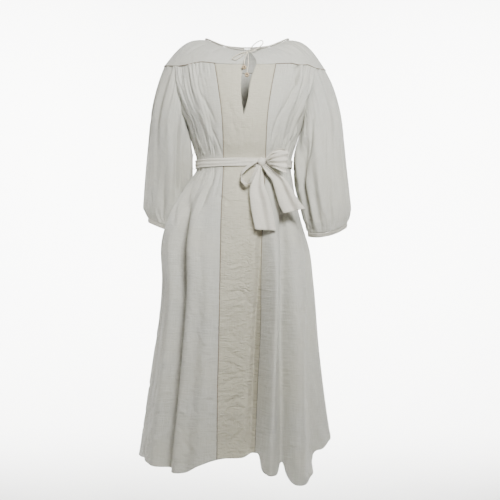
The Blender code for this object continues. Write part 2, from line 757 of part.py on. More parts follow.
def armhole_ring(around, side):
    """The sleeve's top edge, round the arm: over the yoke's end, then down and up the armhole."""
    around = around % 360.0
    on_yoke = (around <= YOKE_ARC_HALF) | (around >= 360.0 - YOKE_ARC_HALF)
    signed = wrapped(around)
    in_front = around < 180.0
    yoke_angle = side * (90.0 - signed * (90.0 - ARMHOLE_ANGLE) / YOKE_ARC_HALF)
    yoke_height = yoke_edge_height(yoke_angle)
    corner = side * np.where(in_front, ARMHOLE_ANGLE, 180.0 - ARMHOLE_ANGLE)
    from_yoke = np.where(in_front, around, 360.0 - around) - YOKE_ARC_HALF
    turn = np.clip(from_yoke / (180.0 - YOKE_ARC_HALF), 0.0, 1.0) * 90.0
    turn_step = 90.0 / ARMHOLE_COLUMNS
    before = np.floor(turn / turn_step + 1e-6) * turn_step
    share = ((turn - before) / turn_step)[..., None]
    points = np.zeros(around.shape + (3,))
    after = np.minimum(before + turn_step, 90.0)
    for column_turn, weight in ((before, 1.0 - share), (after, share)):
        seam_angle, seam_height = armhole_cloth(column_turn, corner)
        angle = np.where(on_yoke, yoke_angle, seam_angle)
        height = np.where(on_yoke, yoke_height, seam_height)
        points += body_point(angle, height - SLEEVE_EDGE_DROP) * weight
    at_corner = APART_AT_YOKE * (np.abs(signed) / YOKE_ARC_HALF) ** 4
    below = APART_AT_YOKE + APART_BELOW * np.sin(turn * DEGREE) ** 2
    points[..., 0] += side * np.where(on_yoke, at_corner, below)
    return points


def sleeve_point(around, share, side):
    """The sleeve's tube: the armhole's edge melts into the tables' ellipses."""
    table = SLEEVE_RIGHT if side > 0.0 else SLEEVE_LEFT
    outer = through(table, 1, share)
    inner = through(table, 2, share)
    middle_y = through(table, 3, share)
    half_y = through(table, 4, share)
    cosine = np.cos(around * DEGREE)
    sine = np.sin(around * DEGREE)
    drift = 0.8 * np.sin(3.0 * around * DEGREE) + 0.5
    waves = np.cos(SLEEVE_WAVES * around * DEGREE + drift)
    swell = through(SLEEVE_GATHERS, 1, share) * waves
    x = 0.5 * (outer + inner) + side * (0.5 * np.abs(outer - inner) + swell) * cosine
    y = middle_y - (half_y + swell) * sine
    start = armhole_ring(around, side)
    level, tilt, sag = CUFF_RIGHT if side > 0.0 else CUFF_LEFT
    end_height = level + tilt * cosine - sag * sine * sine
    height = start[..., 2] + (end_height - start[..., 2]) * share
    first = np.zeros_like(share)
    first_x = 0.5 * (through(table, 1, first) + through(table, 2, first))
    first_half = 0.5 * np.abs(through(table, 1, first) - through(table, 2, first))
    off_x = start[..., 0] - (first_x + side * first_half * cosine)
    off_y = start[..., 1] + through(table, 4, first) * sine
    left_over = 1.0 - smooth_step(share / SLEEVE_BLEND)
    return np.stack([x + off_x * left_over, y + off_y * left_over, height], axis=-1)


def build_sleeve(name, side):
    """A full sleeve, open at both ends."""
    around = np.arange(SLEEVE_COLUMNS) * 360.0 / SLEEVE_COLUMNS
    shares = np.array(SLEEVE_ROWS)[:, None]
    grid_around, grid_shares = np.broadcast_arrays(around, shares)
    points = sleeve_point(grid_around, grid_shares, side)
    crest = np.where(np.arange(SLEEVE_COLUMNS) % 2 == 0, 1.0, -1.0)
    swell = through(SLEEVE_SMALL_GATHERS, 1, grid_shares) * crest
    points[..., 0] += side * swell * np.cos(grid_around * DEGREE)
    points[..., 1] -= swell * np.sin(grid_around * DEGREE)
    cloth(name, points, "linen", round_columns=True, flip=side > 0.0)


def build_cuff(name, side):
    """The narrow band that holds the sleeve's lower edge."""
    around = np.arange(SLEEVE_COLUMNS) * 360.0 / SLEEVE_COLUMNS
    edge = sleeve_point(around, np.ones_like(around), side)
    middle = edge.mean(axis=0)
    rows = []
    for fall, inward in ((YOKE_GAP, 0.0), (CUFF_HEIGHT, CUFF_DRAW)):
        row = edge + (middle - edge) * np.array([inward, inward, 0.0])
        row[:, 2] -= fall
        rows.append(row)
    points = np.stack(rows)
    cloth(name, points, "binding_linen", wall=CUFF_WALL, round_columns=True, flip=side > 0.0)


def build_neck_binding():
    """A narrow bound edge, lying just above the neckline from one side of the slit to the other."""
    angles = np.linspace(BINDING_FREE, 360.0 - BINDING_FREE, BINDING_POINTS)
    points = neck_ring(angles)
    points[:, 2] += BINDING_RADIUS + 0.5 * CLOTH + BINDING_GAP
    tube("neck_binding", points, BINDING_RADIUS, "binding_linen")


def build_belt_band():
    """The sash round the waist, drawn together into a narrow band."""
    angles = wrapped(np.arange(BELT_COLUMNS) * 360.0 / BELT_COLUMNS)
    rows = []
    for height in (BELT_TOP, 0.5 * (BELT_TOP + BELT_BOTTOM), BELT_BOTTOM):
        heights = np.full(BELT_COLUMNS, height)
        ring, out = body_ring(angles, heights)
        rows.append(np.column_stack([ring + out * BELT_OFF_BODY, heights]))
    cloth("belt_band", np.stack(rows), "sash_linen", wall=BELT_WALL, round_columns=True)


def strip(name, table, rows, columns, hollow=0.0):
    """A strip of cloth along a table's middles; turn and lean say which way its width runs."""
    keys = np.linspace(0.0, 1.0, len(table))
    at = np.linspace(0.0, 1.0, rows + 1)
    keyed = np.column_stack([keys, np.array(table)])
    x, y, z, half, turn, lean = (through(keyed, column, at) for column in range(1, 7))
    across = np.linspace(-1.0, 1.0, columns + 1)
    width_x = np.cos(turn * DEGREE) * np.cos(lean * DEGREE)
    width_y = np.sin(turn * DEGREE)
    width_z = np.cos(turn * DEGREE) * np.sin(lean * DEGREE)
    direction = np.stack([width_x, -width_y, width_z], axis=-1)
    middle = np.stack([x, y, z], axis=-1)
    points = middle[:, None] + direction[:, None] * (half[:, None] * across)[..., None]
    ripple = np.cos(1.5 * np.pi * across) * half[:, None] / half.max()
    points[..., 1] += hollow * ripple
    cloth(name, points, "sash_linen")


def ball(name, middle, size, material_name, segments=12, rings=8):
    """A rounded lump with the given half sizes."""
    mesh = bpy.data.meshes.new(name)
    work = bmesh.new()
    bmesh.ops.create_uvsphere(work, u_segments=segments, v_segments=rings, radius=1.0)
    bmesh.ops.scale(work, vec=size, verts=work.verts)
    bmesh.ops.translate(work, vec=middle, verts=work.verts)
    work.to_mesh(mesh)
    work.free()
    return place(name, mesh, material_name)


def build_belt_bow():
    """The sash's knot with its two loops and two tails."""
    ball("belt_knot", BELT_KNOT, BELT_KNOT_SIZE, "sash_linen")
    strip("belt_tail_left", TAIL_LEFT, 8, 6, hollow=TAIL_HOLLOW)
    strip("belt_tail_right", TAIL_RIGHT, 7, 6, hollow=TAIL_HOLLOW)
    strip("belt_loop_left", LOOP_LEFT, 14, 2)
    strip("belt_loop_right", LOOP_RIGHT, 14, 3)


def build_belt_carrier(name, side, slack):
    """A thread loop at the side seam, from just above the sash to just below it."""
    near = 0.5 * CLOTH + CARRIER_RADIUS + SEAM_GAP + CARRIER_OFF
    over_sash = BELT_OFF_BODY + BELT_WALL + slack - CARRIER_OFF
    knots = []
    for height, share in CARRIER_ROUTE:
        seam = body_point(np.asarray(side * CARRIER_ANGLE), np.asarray(height))
        knots.append((seam[0] + side * (near + over_sash * share), seam[1], height))
    tube(name, smooth_route(knots, 10), CARRIER_RADIUS, "cord_cotton", bevel=1)


def build_neck_tie():
    """The neck tie's knot, two loops and two beaded ends."""
    ball("tie_knot", TIE_KNOT, TIE_KNOT_SIZE, "cord_cotton")
    tube("tie_loop_left", smooth_route(TIE_LOOP_LEFT, 17), TIE_RADIUS, "cord_cotton")
    tube("tie_loop_right", smooth_route(TIE_LOOP_RIGHT, 19), TIE_RADIUS, "cord_cotton")
    tube("tie_end_left", smooth_route(TIE_END_LEFT, 12), TIE_RADIUS, "cord_cotton")
    tube("tie_end_right", smooth_route(TIE_END_RIGHT, 14), TIE_RADIUS, "cord_cotton")
    for name, route in (("bead_left", TIE_END_LEFT), ("bead_right", TIE_END_RIGHT)):
        end = np.array(route[-1])
        middle = end - np.array([0.0, 0.0, BEAD_FLATTEN * BEAD_RADIUS + BEAD_OFF])
        ball(name, middle, (BEAD_RADIUS, BEAD_RADIUS, BEAD_FLATTEN * BEAD_RADIUS), "bead_wood")


def main():
    clear_scene()
    dress = bpy.data.collections.new("linen_dress")
    bpy.context.scene.collection.children.link(dress)
    build_yokes()
    build_center_panel()
    build_side_front("front_side_left", -1.0)
    build_side_front("front_side_right", 1.0)
    build_back()
    build_sleeve("sleeve_left", -1.0)
    build_sleeve("sleeve_right", 1.0)
    build_cuff("cuff_left", -1.0)
    build_cuff("cuff_right", 1.0)
    build_neck_binding()
    build_belt_band()
    build_belt_bow()
    build_belt_carrier("belt_carrier_left", -1.0, CARRIER_SLACK_LEFT)
    build_belt_carrier("belt_carrier_right", 1.0, CARRIER_SLACK_RIGHT)
    build_neck_tie()


main()
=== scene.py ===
import math

import bmesh
import bpy
import numpy as np
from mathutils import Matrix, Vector


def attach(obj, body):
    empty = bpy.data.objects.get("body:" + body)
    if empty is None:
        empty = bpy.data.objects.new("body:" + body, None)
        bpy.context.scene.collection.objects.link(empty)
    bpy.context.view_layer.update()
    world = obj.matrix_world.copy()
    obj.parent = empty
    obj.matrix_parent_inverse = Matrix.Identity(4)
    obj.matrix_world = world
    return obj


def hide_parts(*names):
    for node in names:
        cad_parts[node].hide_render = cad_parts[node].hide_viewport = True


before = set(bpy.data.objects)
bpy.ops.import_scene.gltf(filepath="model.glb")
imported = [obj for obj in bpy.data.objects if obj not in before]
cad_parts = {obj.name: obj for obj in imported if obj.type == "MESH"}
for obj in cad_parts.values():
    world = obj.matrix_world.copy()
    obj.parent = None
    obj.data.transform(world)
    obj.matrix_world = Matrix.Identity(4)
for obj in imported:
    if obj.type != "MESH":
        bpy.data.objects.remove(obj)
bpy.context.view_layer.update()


def metres(rows, plain=()):
    """A table written in millimetres, turned to metres; its plain columns are degrees, shares or counts."""
    table = np.array(rows, float)
    units = np.full(table.shape[1], 1000.0)
    units[list(plain)] = 1.0
    return table / units


# A worn linen dress in metres: +Z up, the front faces -Y, +X is the photo's right. Angles are in degrees
# round the body, from the front's middle towards the photo's right. Sizes start from the solids' own;
# the hem, the slit, the sleeves' inner sides and all creases are drawn finer here.
DEGREE = math.pi / 180
HALF_WALL = 0.00075
PIECE_GAP = 0.0003
CLOTH = 0.0010
YOKE_GAP = 0.0006
HALF_SEAM_ANGLE = 0.5 * 0.0007 / 0.22 / DEGREE
YOKE_FRONT_HEIGHT = -0.086
YOKE_BACK_HEIGHT = -0.076
YOKE_SIDE_HEIGHT = -0.066
ARMHOLE_ANGLE = 59.0
UNDERARM_HEIGHT = -0.245
BELT_TOP = -0.343
BELT_BOTTOM = -0.365
PANEL_ANGLE = 21.5
HEM_LEVEL = -1.18

BODY_SECTIONS = metres([
    # height, left, right, front, back
    (-60, 231, 231, 112, 98),
    (-140, 219, 219, 136, 117),
    (-200, 191, 191, 144, 123),
    (-245, 165, 164, 142, 122),
    (-300, 147, 143, 128, 111),
    (-343, 137, 131, 111, 99),
    (-365, 137, 130, 111, 99),
    (-400, 154, 134, 122, 108),
    (-450, 188, 141, 134, 122),
    (-520, 225, 158, 146, 138),
    (-600, 241, 179, 153, 150),
    (-680, 236, 186, 158, 158),
    (-860, 252, 199, 166, 178),
    (-1000, 270, 215, 171, 190),
    (-1220, 300, 248, 178, 205),
])
PANEL_SEAMS = metres([
    # height, left, right
    (-86, -82, 85),
    (-150, -72, 73),
    (-230, -62, 62),
    (-350, -59, 57),
    (-500, -64, 54),
    (-800, -68, 50),
    (-1000, -73, 40),
    (-1220, -78, 27),
])
FOLDS = metres([
    # begins, full, ends, angle at the start, angle where full, at the hem, half width, outward
    (-400, -900, -9000, 2, 2, -5, 11, -44),
    (-370, -600, -9000, 22, 16, 7, 5, -24),
    (-370, -800, -9000, 34, 22, 15, 5.5, 34),
    (-370, -600, -9000, 50, 38, 24, 4.5, -26),
    (-370, -950, -9000, 62, 38, 32, 10, 50),
    (-450, -1000, -9000, 75, 62, 58, 7, -22),
    (-400, -800, -9000, 88, 84, 88, 9, 10),
    (-366, -410, -560, -37, -36, -33, 3.6, -7),
    (-370, -800, -9000, -30, -24, -24, 8, 24),
    (-370, -600, -9000, -44, -35, -38, 5.5, 22),
    (-370, -550, -9000, -72, -47, -47, 5, -24),
    (-370, -520, -9000, -84, -64, -60, 8, 14),
    (-380, -470, -700, -118, -118, -118, 24, -30),
    (-400, -900, -9000, -110, -104, -100, 8, 14),
    (-400, -900, -9000, -130, -128, -124, 9, -16),
    (-400, -900, -9000, -146, -146, -148, 9, 20),
    (-400, -900, -9000, -166, -166, -168, 8, -18),
    (-400, -900, -9000, 174, 174, 174, 8, 20),
    (-400, -900, -9000, 152, 152, 154, 8, -16),
    (-400, -900, -9000, 130, 130, 134, 9, 20),
    (-400, -900, -9000, 108, 108, 112, 8, -14),
], (3, 4, 5, 6))
GATHERS = metres([
    # height, outward of the broad gathers, of the fine ones
    (-66, 1.2, 1),
    (-85, 3, 1.8),
    (-110, 5, 1.6),
    (-180, 6, 0.7),
    (-250, 4.5, 0.5),
    (-320, 3, 1.2),
    (-343, 1, 0.6),
    (-365, 1, 0.6),
    (-390, 4, 1.6),
    (-470, 6, 0.6),
    (-700, 6, 0),
    (-1220, 7, 0),
])
PIPING_RADIUS = 0.0014
PIPING_PROUD = 0.0008
PANEL_PIPING_RADIUS = 0.0015
PLAIN_SEAM_RADIUS = 0.0007
ARMHOLE_SEAM_RADIUS = 0.0013
SEAM_PROUD = 0.0006
SEAM_DIP = 0.0011
SEAM_DIP_WIDTH = 0.0035
HEM_TURNED = 0.012
HEM_STEP = 0.0006
HEM_STEP_WIDTH = 0.003
GATHER_SHARES = (
    # angle off the front's middle, share of the broad gathers' depth, of the fine ones'
    (0, 0.3, 0.15), (22, 0.3, 0.15), (32, 0.45, 0.35), (38, 0.7, 1),
    (50, 1, 0.9), (59, 1, 0.6), (90, 1, 0.8), (180, 1, 0.9),
)
GATHERS_IN_TURN = 26
GATHER_FADE = 4.0
GATHERS_EVEN_FROM = -0.42
GATHERS_EVEN_OVER = 0.20
FINE_GATHERS_IN_TURN = 118
HEM_HEIGHTS = metres([
    # angle, height
    (-180, -1170), (-135, -1179), (-100, -1184), (-90, -1183), (-75, -1178), (-64, -1185),
    (-57, -1191), (-48, -1196), (-40, -1198), (-36, -1195), (-30, -1177), (-24, -1165),
    (-16, -1162), (-4, -1164), (5, -1162), (10, -1157), (16, -1150), (21.5, -1148),
    (23.4, -1152), (24.6, -1184), (26.5, -1195), (30, -1197), (33.4, -1190), (34.8, -1171),
    (36, -1168), (37, -1192), (38.5, -1214), (41, -1224), (46, -1222), (52, -1214),
    (58, -1208), (62, -1200), (64.5, -1166), (72, -1150), (80, -1137), (90, -1124),
    (104, -1132), (120, -1150), (140, -1162), (180, -1170),
], (0,))
YOKE_DIPS = metres([
    # angle, dip
    (-180, 0), (-112, 0), (-90, 6), (-71, 10), (-55, 11), (-44, 6),
    (-31, -3), (-20, 0), (22, 1), (33, 1), (42, 7), (49, 7),
    (58, 16), (72, 20), (90, 17), (112, 4), (135, 0), (180, 0),
], (0,))
NECK_CENTER = 0.006
NECK_HALF_WIDTH = 0.118
NECK_FRONT = 0.086
NECK_BACK = 0.062
NECK_FRONT_DROP = 0.045
NECK_BACK_DROP = 0.012
SHOULDER_RISE = 0.026
CHEST_RISE = 0.005
YOKE_DEPTH = 0.11
YOKE_CUT_RADIUS = 0.17
BODY_CUT_RADIUS = 0.25
SLIT_BOTTOM_SHARE = 0.5525
SLIT_BLEND = 0.08
SLIT = metres([
    # height, middle, half width
    (-45, 6, 3),
    (-60, 12.5, 9.5),
    (-82.5, 15, 16.5),
    (-106, 9.2, 15.6),
    (-122, 4.8, 13.8),
    (-150, 1.3, 11.5),
    (-185, -0.5, 8.5),
    (-228, -3, 0),
])
SLEEVE_RIGHT = metres([
    # share, outer x, inner x, middle y, half depth
    (0, 235, 168, 0, 58),
    (0.1, 252, 157, 0, 64),
    (0.25, 266, 143.5, -2, 70),
    (0.5, 279, 141.5, -10, 74),
    (0.75, 291, 156, -20, 75),
    (0.92, 298, 169, -26, 70),
    (1, 288, 178, -28, 58),
], (0,))
SLEEVE_LEFT = metres([
    # share, outer x, inner x, middle y, half depth
    (0, -231, -169, 0, 58),
    (0.1, -244, -160, 4, 64),
    (0.25, -260, -151.5, 16, 70),
    (0.5, -277, -150.5, 50, 72),
    (0.75, -293, -156, 94, 70),
    (0.92, -299, -160, 118, 65),
    (1, -288, -170, 126, 55),
], (0,))
SLEEVE_GATHERS = metres([
    # share, outward of the broad gathers, of the fine ones
    (0, 0, 0),
    (0.08, 3.5, 1.2),
    (0.3, 6, 0.4),
    (0.6, 5, 0.3),
    (0.85, 6.5, 1.4),
    (0.95, 4, 2.2),
    (1, 0.8, 0.4),
], (0,))
SLEEVE_LENGTH = 0.46
SLEEVE_GIRTH = 0.55
ANGLES_OF_CREASE = (0, 2)
PLAIN_OF_CRINKLES = (0, 1, 4, 5, 6)
CREASE_FADE = 0.3
STEP_GAIN = 1.6
BODY_REACH = 0.0036
YOKE_REACH = 0.0030
SLEEVE_REACH = 0.0013
SASH_MARGIN = 0.012
SASH_FADE = 0.010
YOKE_FADE = 0.007
CREASES = metres([
    # angle and height at one end, angle and height at the other, bow, half width, outward, step
    # Bodice, the photo's left.
    (-58, -74, -67, -205, 3, 6, -4, 1),
    (-54.5, -80, -53.5, -165, 1, 4.2, 3.2, 0),
    (-50, -82, -56, -210, -4, 3.6, -4, 1.2),
    (-55, -190, -61, -300, -2, 4.2, -3.4, 1),
    (-47, -84, -50.5, -230, -2, 4.2, 3, 0),
    (-44.2, -80, -46, -205, 5, 3.2, -3.4, 1),
    (-41, -80, -39.7, -116, 0, 2.4, -2.2, 0),
    (-37.8, -80, -38.5, -120, 0, 2.6, 2, 0),
    (-34.6, -80, -37, -142, 3, 3, -2.8, 0.8),
    (-31, -78, -31.2, -116, 0, 2.4, -2.2, 0),
    (-28.2, -80, -28.6, -112, 0, 2.4, 1.4, 0),
    (-25.4, -80, -25, -114, 0, 2.4, -1.8, 0),
    (-40, -140, -29.5, -262, 4, 6, -2.4, 0.8),
    (-46, -190, -38, -320, 3, 7, 3.2, 0),
    (-50, -225, -44, -340, 2, 4.2, -3, 1),
    (-44.5, -250, -36, -342, 2, 4, -2.8, 0.8),
    (-37.5, -255, -27.5, -340, 3, 3.6, -3.4, 1.2),
    (-57.6, -306, -57.6, -342, 0, 3, -4.2, 0),
    (-63, -270, -53, -342, 0, 4.5, 2.6, 0),
    (-70, -262, -64, -340, 2, 4.5, -3.4, 0),
    (-76, -250, -72, -338, 0, 5, -3, 0),
    # Bodice, the photo's right.
    (24.6, -80, 25, -110, 0, 2.4, -1.4, 0),
    (27.8, -80, 28.4, -120, 0, 2.4, -2.4, 0),
    (31.2, -80, 31.6, -112, 0, 2.4, -1.8, 0),
    (34, -80, 35.5, -150, 2, 4.5, 2.4, 0),
    (37.4, -80, 40.6, -156, 1, 3.2, -7, 0),
    (42.4, -80, 40.4, -156, -1, 3.2, -7, 0),
    (39.9, -66, 40.4, -156, 0, 5, -12, 0),
    (40.2, -134, 36, -215, -1, 4.2, -6.2, -1.4),
    (36, -190, 31, -300, -3, 4.6, -4, -1.4),
    (44.4, -84, 43.6, -215, 1, 4.2, 3.4, 0),
    (46.4, -80, 45.4, -185, 2, 3.6, -3.4, 0),
    (50, -80, 49.4, -170, 2, 4.2, 2.8, 0),
    (54, -80, 55, -176, 2, 4, -4, -1),
    (54.5, -140, 67.5, -285, 4, 5.2, -5, -2),
    (60.5, -110, 70, -275, 4, 12, -12, 0),
    (49, -190, 54, -300, -4, 6, 3, 0),
    (34.5, -160, 30, -320, 4, 7.5, -2, 0),
    (27, -230, 26, -340, 0, 4, -1.6, 0),
    (37, -280, 33, -341, 0, 3.4, -2.2, 0),
    (54, -262, 44, -340, -2, 4.2, -3.4, 0),
    (61, -270, 53, -341, -1, 3.4, -3.8, 0),
    (66, -262, 59, -340, 0, 3.6, 2.8, 0),
    (71, -264, 64.5, -341, -1, 3.4, -3.8, 0),
    (78, -260, 73, -338, 0, 4.5, -3, 0),
    # Centre panel above the sash.
    (9, -110, 18, -180, 2, 6, -1.4, 0),
    (12, -230, 6, -325, 3, 8, 1.6, 0),
    (-14, -170, -9, -320, 3, 8, -1.4, 0),
    (-3, -240, -1, -335, 1, 4.5, -1.2, 0),
    # Skirt, the photo's left.
    (-58, -352, -85, -440, 0, 4.2, -6, 1.6),
    (-77, -376, -51, -545, -12, 4.2, -5.6, 1.4),
    (-53, -500, -50.5, -700, 0, 6, -5, 1),
    (-60, -368, -52, -452, -3, 4, -2.6, 0),
    (-45.5, -368, -42, -450, 0, 4, -2.6, 0),
    (-37.6, -366, -33.6, -500, -2, 4, -5.2, 1.6),
    (-33, -368, -29, -480, 0, 5, 2.4, 0),
    (-28, -368, -25.5, -460, 0, 3.4, -3, 0),
    (-41, -540, -39, -960, 4, 9, 2, 1.2),
    (-29, -560, -27, -900, 3, 6, -1.6, 0),
    (-60, -640, -66, -1120, 6, 9, -3, 0),
    (-72, -560, -76, -1080, -5, 10, -3, 0),
    (-56, -800, -57, -1150, 4, 7, 2.6, 0),
    (-33, -880, -36, -1170, -4, 8, -2.4, 0),
    # Skirt, the photo's right.
    (66, -370, 56, -520, 4, 4.5, -4, 0),
    (52, -440, 40, -640, -3, 4.2, -4.2, -1.8),
    (41, -600, 31, -860, 2, 4.8, -3.6, -1.8),
    (33, -820, 25, -1170, 2, 5, -3.6, -1.4),
    (24, -372, 22, -480, 0, 3.4, -2, 0),
    (76, -372, 70, -500, 2, 5, -3.6, 0),
    (24.5, -560, 17, -900, 3, 5, 2.6, -1.2),
    (56, -620, 48, -1000, 6, 9, -3.2, 0),
    (67, -600, 62, -1060, -4, 9, 3, 0),
    (44, -760, 41, -1160, -4, 8, -2.4, 1),
    (73, -700, 71, -1120, 5, 8, -3, 0),
    # Centre panel below the sash: shallow creases that run slantwise.
    (-14, -560, -4, -580, 1, 5, -2.4, 0),
    (-15, -730, -2, -700, 3, 5, -3.2, 0),
    (-12, -800, -1, -862, -3, 4.5, -4, 0.6),
    (-14, -860, 0, -905, 2, 5, -4, 0),
    (-8, -895, 2, -960, -2, 4.2, -4.4, 0),
    (-14, -965, 0, -925, 3, 5, -4, 0),
    (-13, -1010, 0, -985, -3, 4.5, -4, 0),
    (-12, -1050, -1, -1085, 2, 5, -3.6, 0),
    (-10, -1135, 1, -1080, 4, 5.5, -4.4, 0.8),
    (17.5, -540, 0.5, -1260, 2, 11, -14, 0),
    (25.5, -540, 12, -1260, 2, 10, 10, 0),
    (0.5, -370, 4.5, -590, 0, 13, -11, 0),
    # Hem.
    (-76, -1125, -63, -1172, 5, 6, -4.2, 0),
    (-60, -1080, -66, -1170, 2, 5, -3.8, 0),
    (-50, -1150, -38, -1168, -4, 5.5, -3.5, 0),
    (-36, -1100, -27, -1160, 4, 5.5, -3.5, 0),
    (46, -1120, 54, -1190, 4, 5.5, -4.2, 0),
    (62, -1060, 68, -1160, 3, 5, -4.2, 0),
    (34, -1190, 44, -1206, -3, 5, -3.2, 0),
    # Sides and back.
    (-104, -84, -98, -240, 2, 6, -3.4, 0),
    (-118, -80, -112, -225, -3, 5, -3.6, 0),
    (-127, -80, -128, -180, 0, 3.4, -3, 0),
    (-136, -80, -132, -235, 3, 4.2, -3.4, 0),
    (-145, -80, -146, -160, 0, 3.4, -2.8, 0),
    (-153, -80, -150, -225, -2, 4.2, -3, 0),
    (-162, -80, -161, -150, 0, 3.4, -2.8, 0),
    (-172, -80, -170, -215, 3, 4.2, -3, 0),
    (178, -80, 178, -150, 0, 3.4, -2.6, 0),
    (169, -80, 167, -230, -3, 4.2, -3.2, 0),
    (159, -80, 160, -160, 0, 3.4, -2.6, 0),
    (150, -80, 147, -225, 3, 4.2, -3.2, 0),
    (141, -80, 142, -165, 0, 3.4, -2.8, 0),
    (132, -80, 129, -235, -2, 4.2, -3.4, 0),
    (122, -80, 117, -225, 3, 5, -3.6, 0),
    (106, -100, 101, -240, 0, 6, -3.4, 0),
    (-100, -255, -106, -341, 0, 4.5, -3.4, 0),
    (-118, -245, -124, -341, 2, 4.5, -3.4, 0),
    (-134, -262, -137, -341, 0, 4, -3, 0),
    (-150, -240, -154, -341, 2, 4.5, -3.4, 0),
    (-168, -262, -169, -341, 0, 4, -3, 0),
    (176, -240, 178, -341, -2, 4.5, -3.4, 0),
    (160, -262, 162, -341, 0, 4, -3, 0),
    (144, -240, 148, -341, 2, 4.5, -3.4, 0),
    (128, -262, 131, -341, 0, 4, -3, 0),
    (110, -245, 115, -341, 0, 4.5, -3.4, 0),
    (94, -270, 98, -340, 0, 4.5, -3, 0),
    (-94, -368, -92, -500, 3, 4.5, -3.6, 0),
    (-112, -368, -108, -560, 4, 5, -3.6, 0),
    (-127, -368, -125, -480, 0, 4, -3.4, 0),
    (-142, -368, -139, -600, 4, 5, -3.6, 0),
    (-158, -368, -156, -470, 0, 4, -3.4, 0),
    (-174, -368, -175, -620, -4, 5, -3.6, 0),
    (168, -368, 166, -480, 0, 4, -3.4, 0),
    (154, -368, 157, -590, 4, 5, -3.6, 0),
    (138, -368, 137, -470, 0, 4, -3.4, 0),
    (122, -368, 119, -560, -3, 5, -3.6, 0),
    (104, -368, 102, -480, 0, 4.5, -3.4, 0),
    (90, -372, 86, -560, 3, 4.5, -3.4, 0),
    (-98, -620, -104, -1120, 6, 9, -3.4, 0),
    (-120, -560, -117, -980, -5, 8, -3, 0),
    (-134, -760, -139, -1150, 5, 8, 2.8, 0),
    (-154, -640, -157, -1120, 5, 8, -3, 0),
    (-178, -700, 178, -1150, -5, 9, -3, 0),
    (160, -600, 163, -1050, 5, 8, 2.8, 0),
    (144, -640, 142, -1130, -5, 8, -3, 0),
    (118, -600, 122, -1080, 5, 9, -3.4, 0),
    (96, -640, 98, -1100, -6, 9, -3, 0),
    (-126, -1060, -112, -1150, 5, 5.5, -2.4, 0),
    (-170, -1080, -158, -1150, 4, 5.5, -2.4, 0),
    (150, -1140, 166, -1090, 4, 5.5, -2.4, 0),
    (108, -1060, 118, -1125, 4, 5.5, -2.4, 0),
], ANGLES_OF_CREASE)
CRINKLES = metres([
    # angle from, to, height from, to, count, slope from level: from, to, length, half width, depth
    (-20, 8, -660, -1150, 70, -40, 30, 36, 4.6, 1.6),
    (-20, 18, -400, -660, 30, -30, 30, 26, 3.6, 1.6),
    (-18, 18, -240, -330, 10, 50, 120, 30, 3.6, 0.8),
    (36, 82, -720, -1190, 70, 55, 125, 36, 4.2, 2.6),
    (-84, -24, -1020, -1180, 60, 10, 150, 34, 4.6, 2),
    (-80, -26, -560, -1020, 40, 60, 120, 40, 5, 1.8),
    (90, 270, -950, -1150, 80, 20, 150, 38, 5, 2.8),
    (90, 270, -500, -950, 50, 60, 120, 42, 5.4, 1.8),
    (24, 80, -90, -330, 20, 60, 120, 26, 3.4, 1),
    (-80, -24, -90, -330, 20, 60, 120, 26, 3.4, 1),
], PLAIN_OF_CRINKLES)
SLEEVE_CREASES_LEFT = metres([
    # way round and down at one end, the same at the other, bow, half width, outward, step
    (46, 30, 66, 370, 4, 10, -6, 0),
    (76, 60, 92, 420, -4, 10, 4.5, 0),
    (106, 20, 122, 380, 4, 20, -19, -2),
    (30, 120, 38, 400, 3, 7, -3.4, 0),
    (50, 350, 65, 455, 4, 3.6, -3.4, 1.2),
    (80, 330, 84, 455, 0, 5, -3.6, 0),
    (104, 330, 100, 455, 2, 5, -3.6, 0),
    (138, 40, 144, 440, 4, 15, -14, 0),
    (12, 40, 14, 300, 2, 8, -3, 0),
    (160, 200, 156, 440, -2, 8, -4, 0),
    (200, 60, 196, 400, 4, 10, -4.4, 0),
    (228, 40, 236, 360, -4, 9, -5, 0),
    (262, 80, 256, 440, 4, 10, -4.4, 0),
    (292, 40, 300, 340, 4, 9, -5, 0),
    (326, 60, 320, 430, -4, 9, -4, 0),
    (346, 160, 350, 420, 3, 7, -3, 0),
], ANGLES_OF_CREASE)
SLEEVE_CREASES_RIGHT = metres([
    # way round and down at one end, the same at the other, bow, half width, outward, step
    (96, 60, 130, 210, 6, 7, -6.4, 3),
    (122, 90, 150, 290, 4, 18, -17, 0),
    (88, 180, 108, 360, 4, 10, 4, 0),
    (70, 110, 92, 420, 4, 8, -2, 4.6),
    (50, 120, 60, 410, -4, 7.5, -4, 0),
    (31, 170, 37, 445, 3, 4.2, -4.4, 1.2),
    (8, 20, 42, 110, 3, 6, -3, 0),
    (62, 10, 66, 120, 0, 6, -3.4, 0),
    (14, 160, 12, 420, 3, 8, 3, 0),
    (118, 300, 124, 452, 3, 6, -4.4, 0),
    (104, 380, 98, 456, 0, 4, -3.4, 0),
    (84, 390, 86, 456, 0, 4, -3, 0),
    (62, 400, 66, 456, 0, 4, -3.4, 0),
    (140, 220, 146, 460, 0, 12, -12, 0),
    (174, 60, 168, 380, 4, 10, -4.4, 0),
    (204, 60, 210, 420, -4, 10, -5, 0),
    (236, 40, 230, 340, 4, 9, -5, 0),
    (264, 80, 270, 440, 4, 10, -4.4, 0),
    (298, 40, 292, 380, -4, 9, -5, 0),
    (330, 60, 336, 420, 4, 9, -4.4, 0),
], ANGLES_OF_CREASE)
SLEEVE_CRINKLES = metres([
    # way round from, to, down from, to, count, slope from level: from, to, length, half width, depth
    (0, 360, 415, 452, 54, 75, 105, 40, 3, 3),
    (0, 360, 10, 40, 26, 75, 105, 34, 3.2, 2),
    (0, 360, 60, 400, 40, 65, 115, 40, 4.4, 1.4),
], PLAIN_OF_CRINKLES)
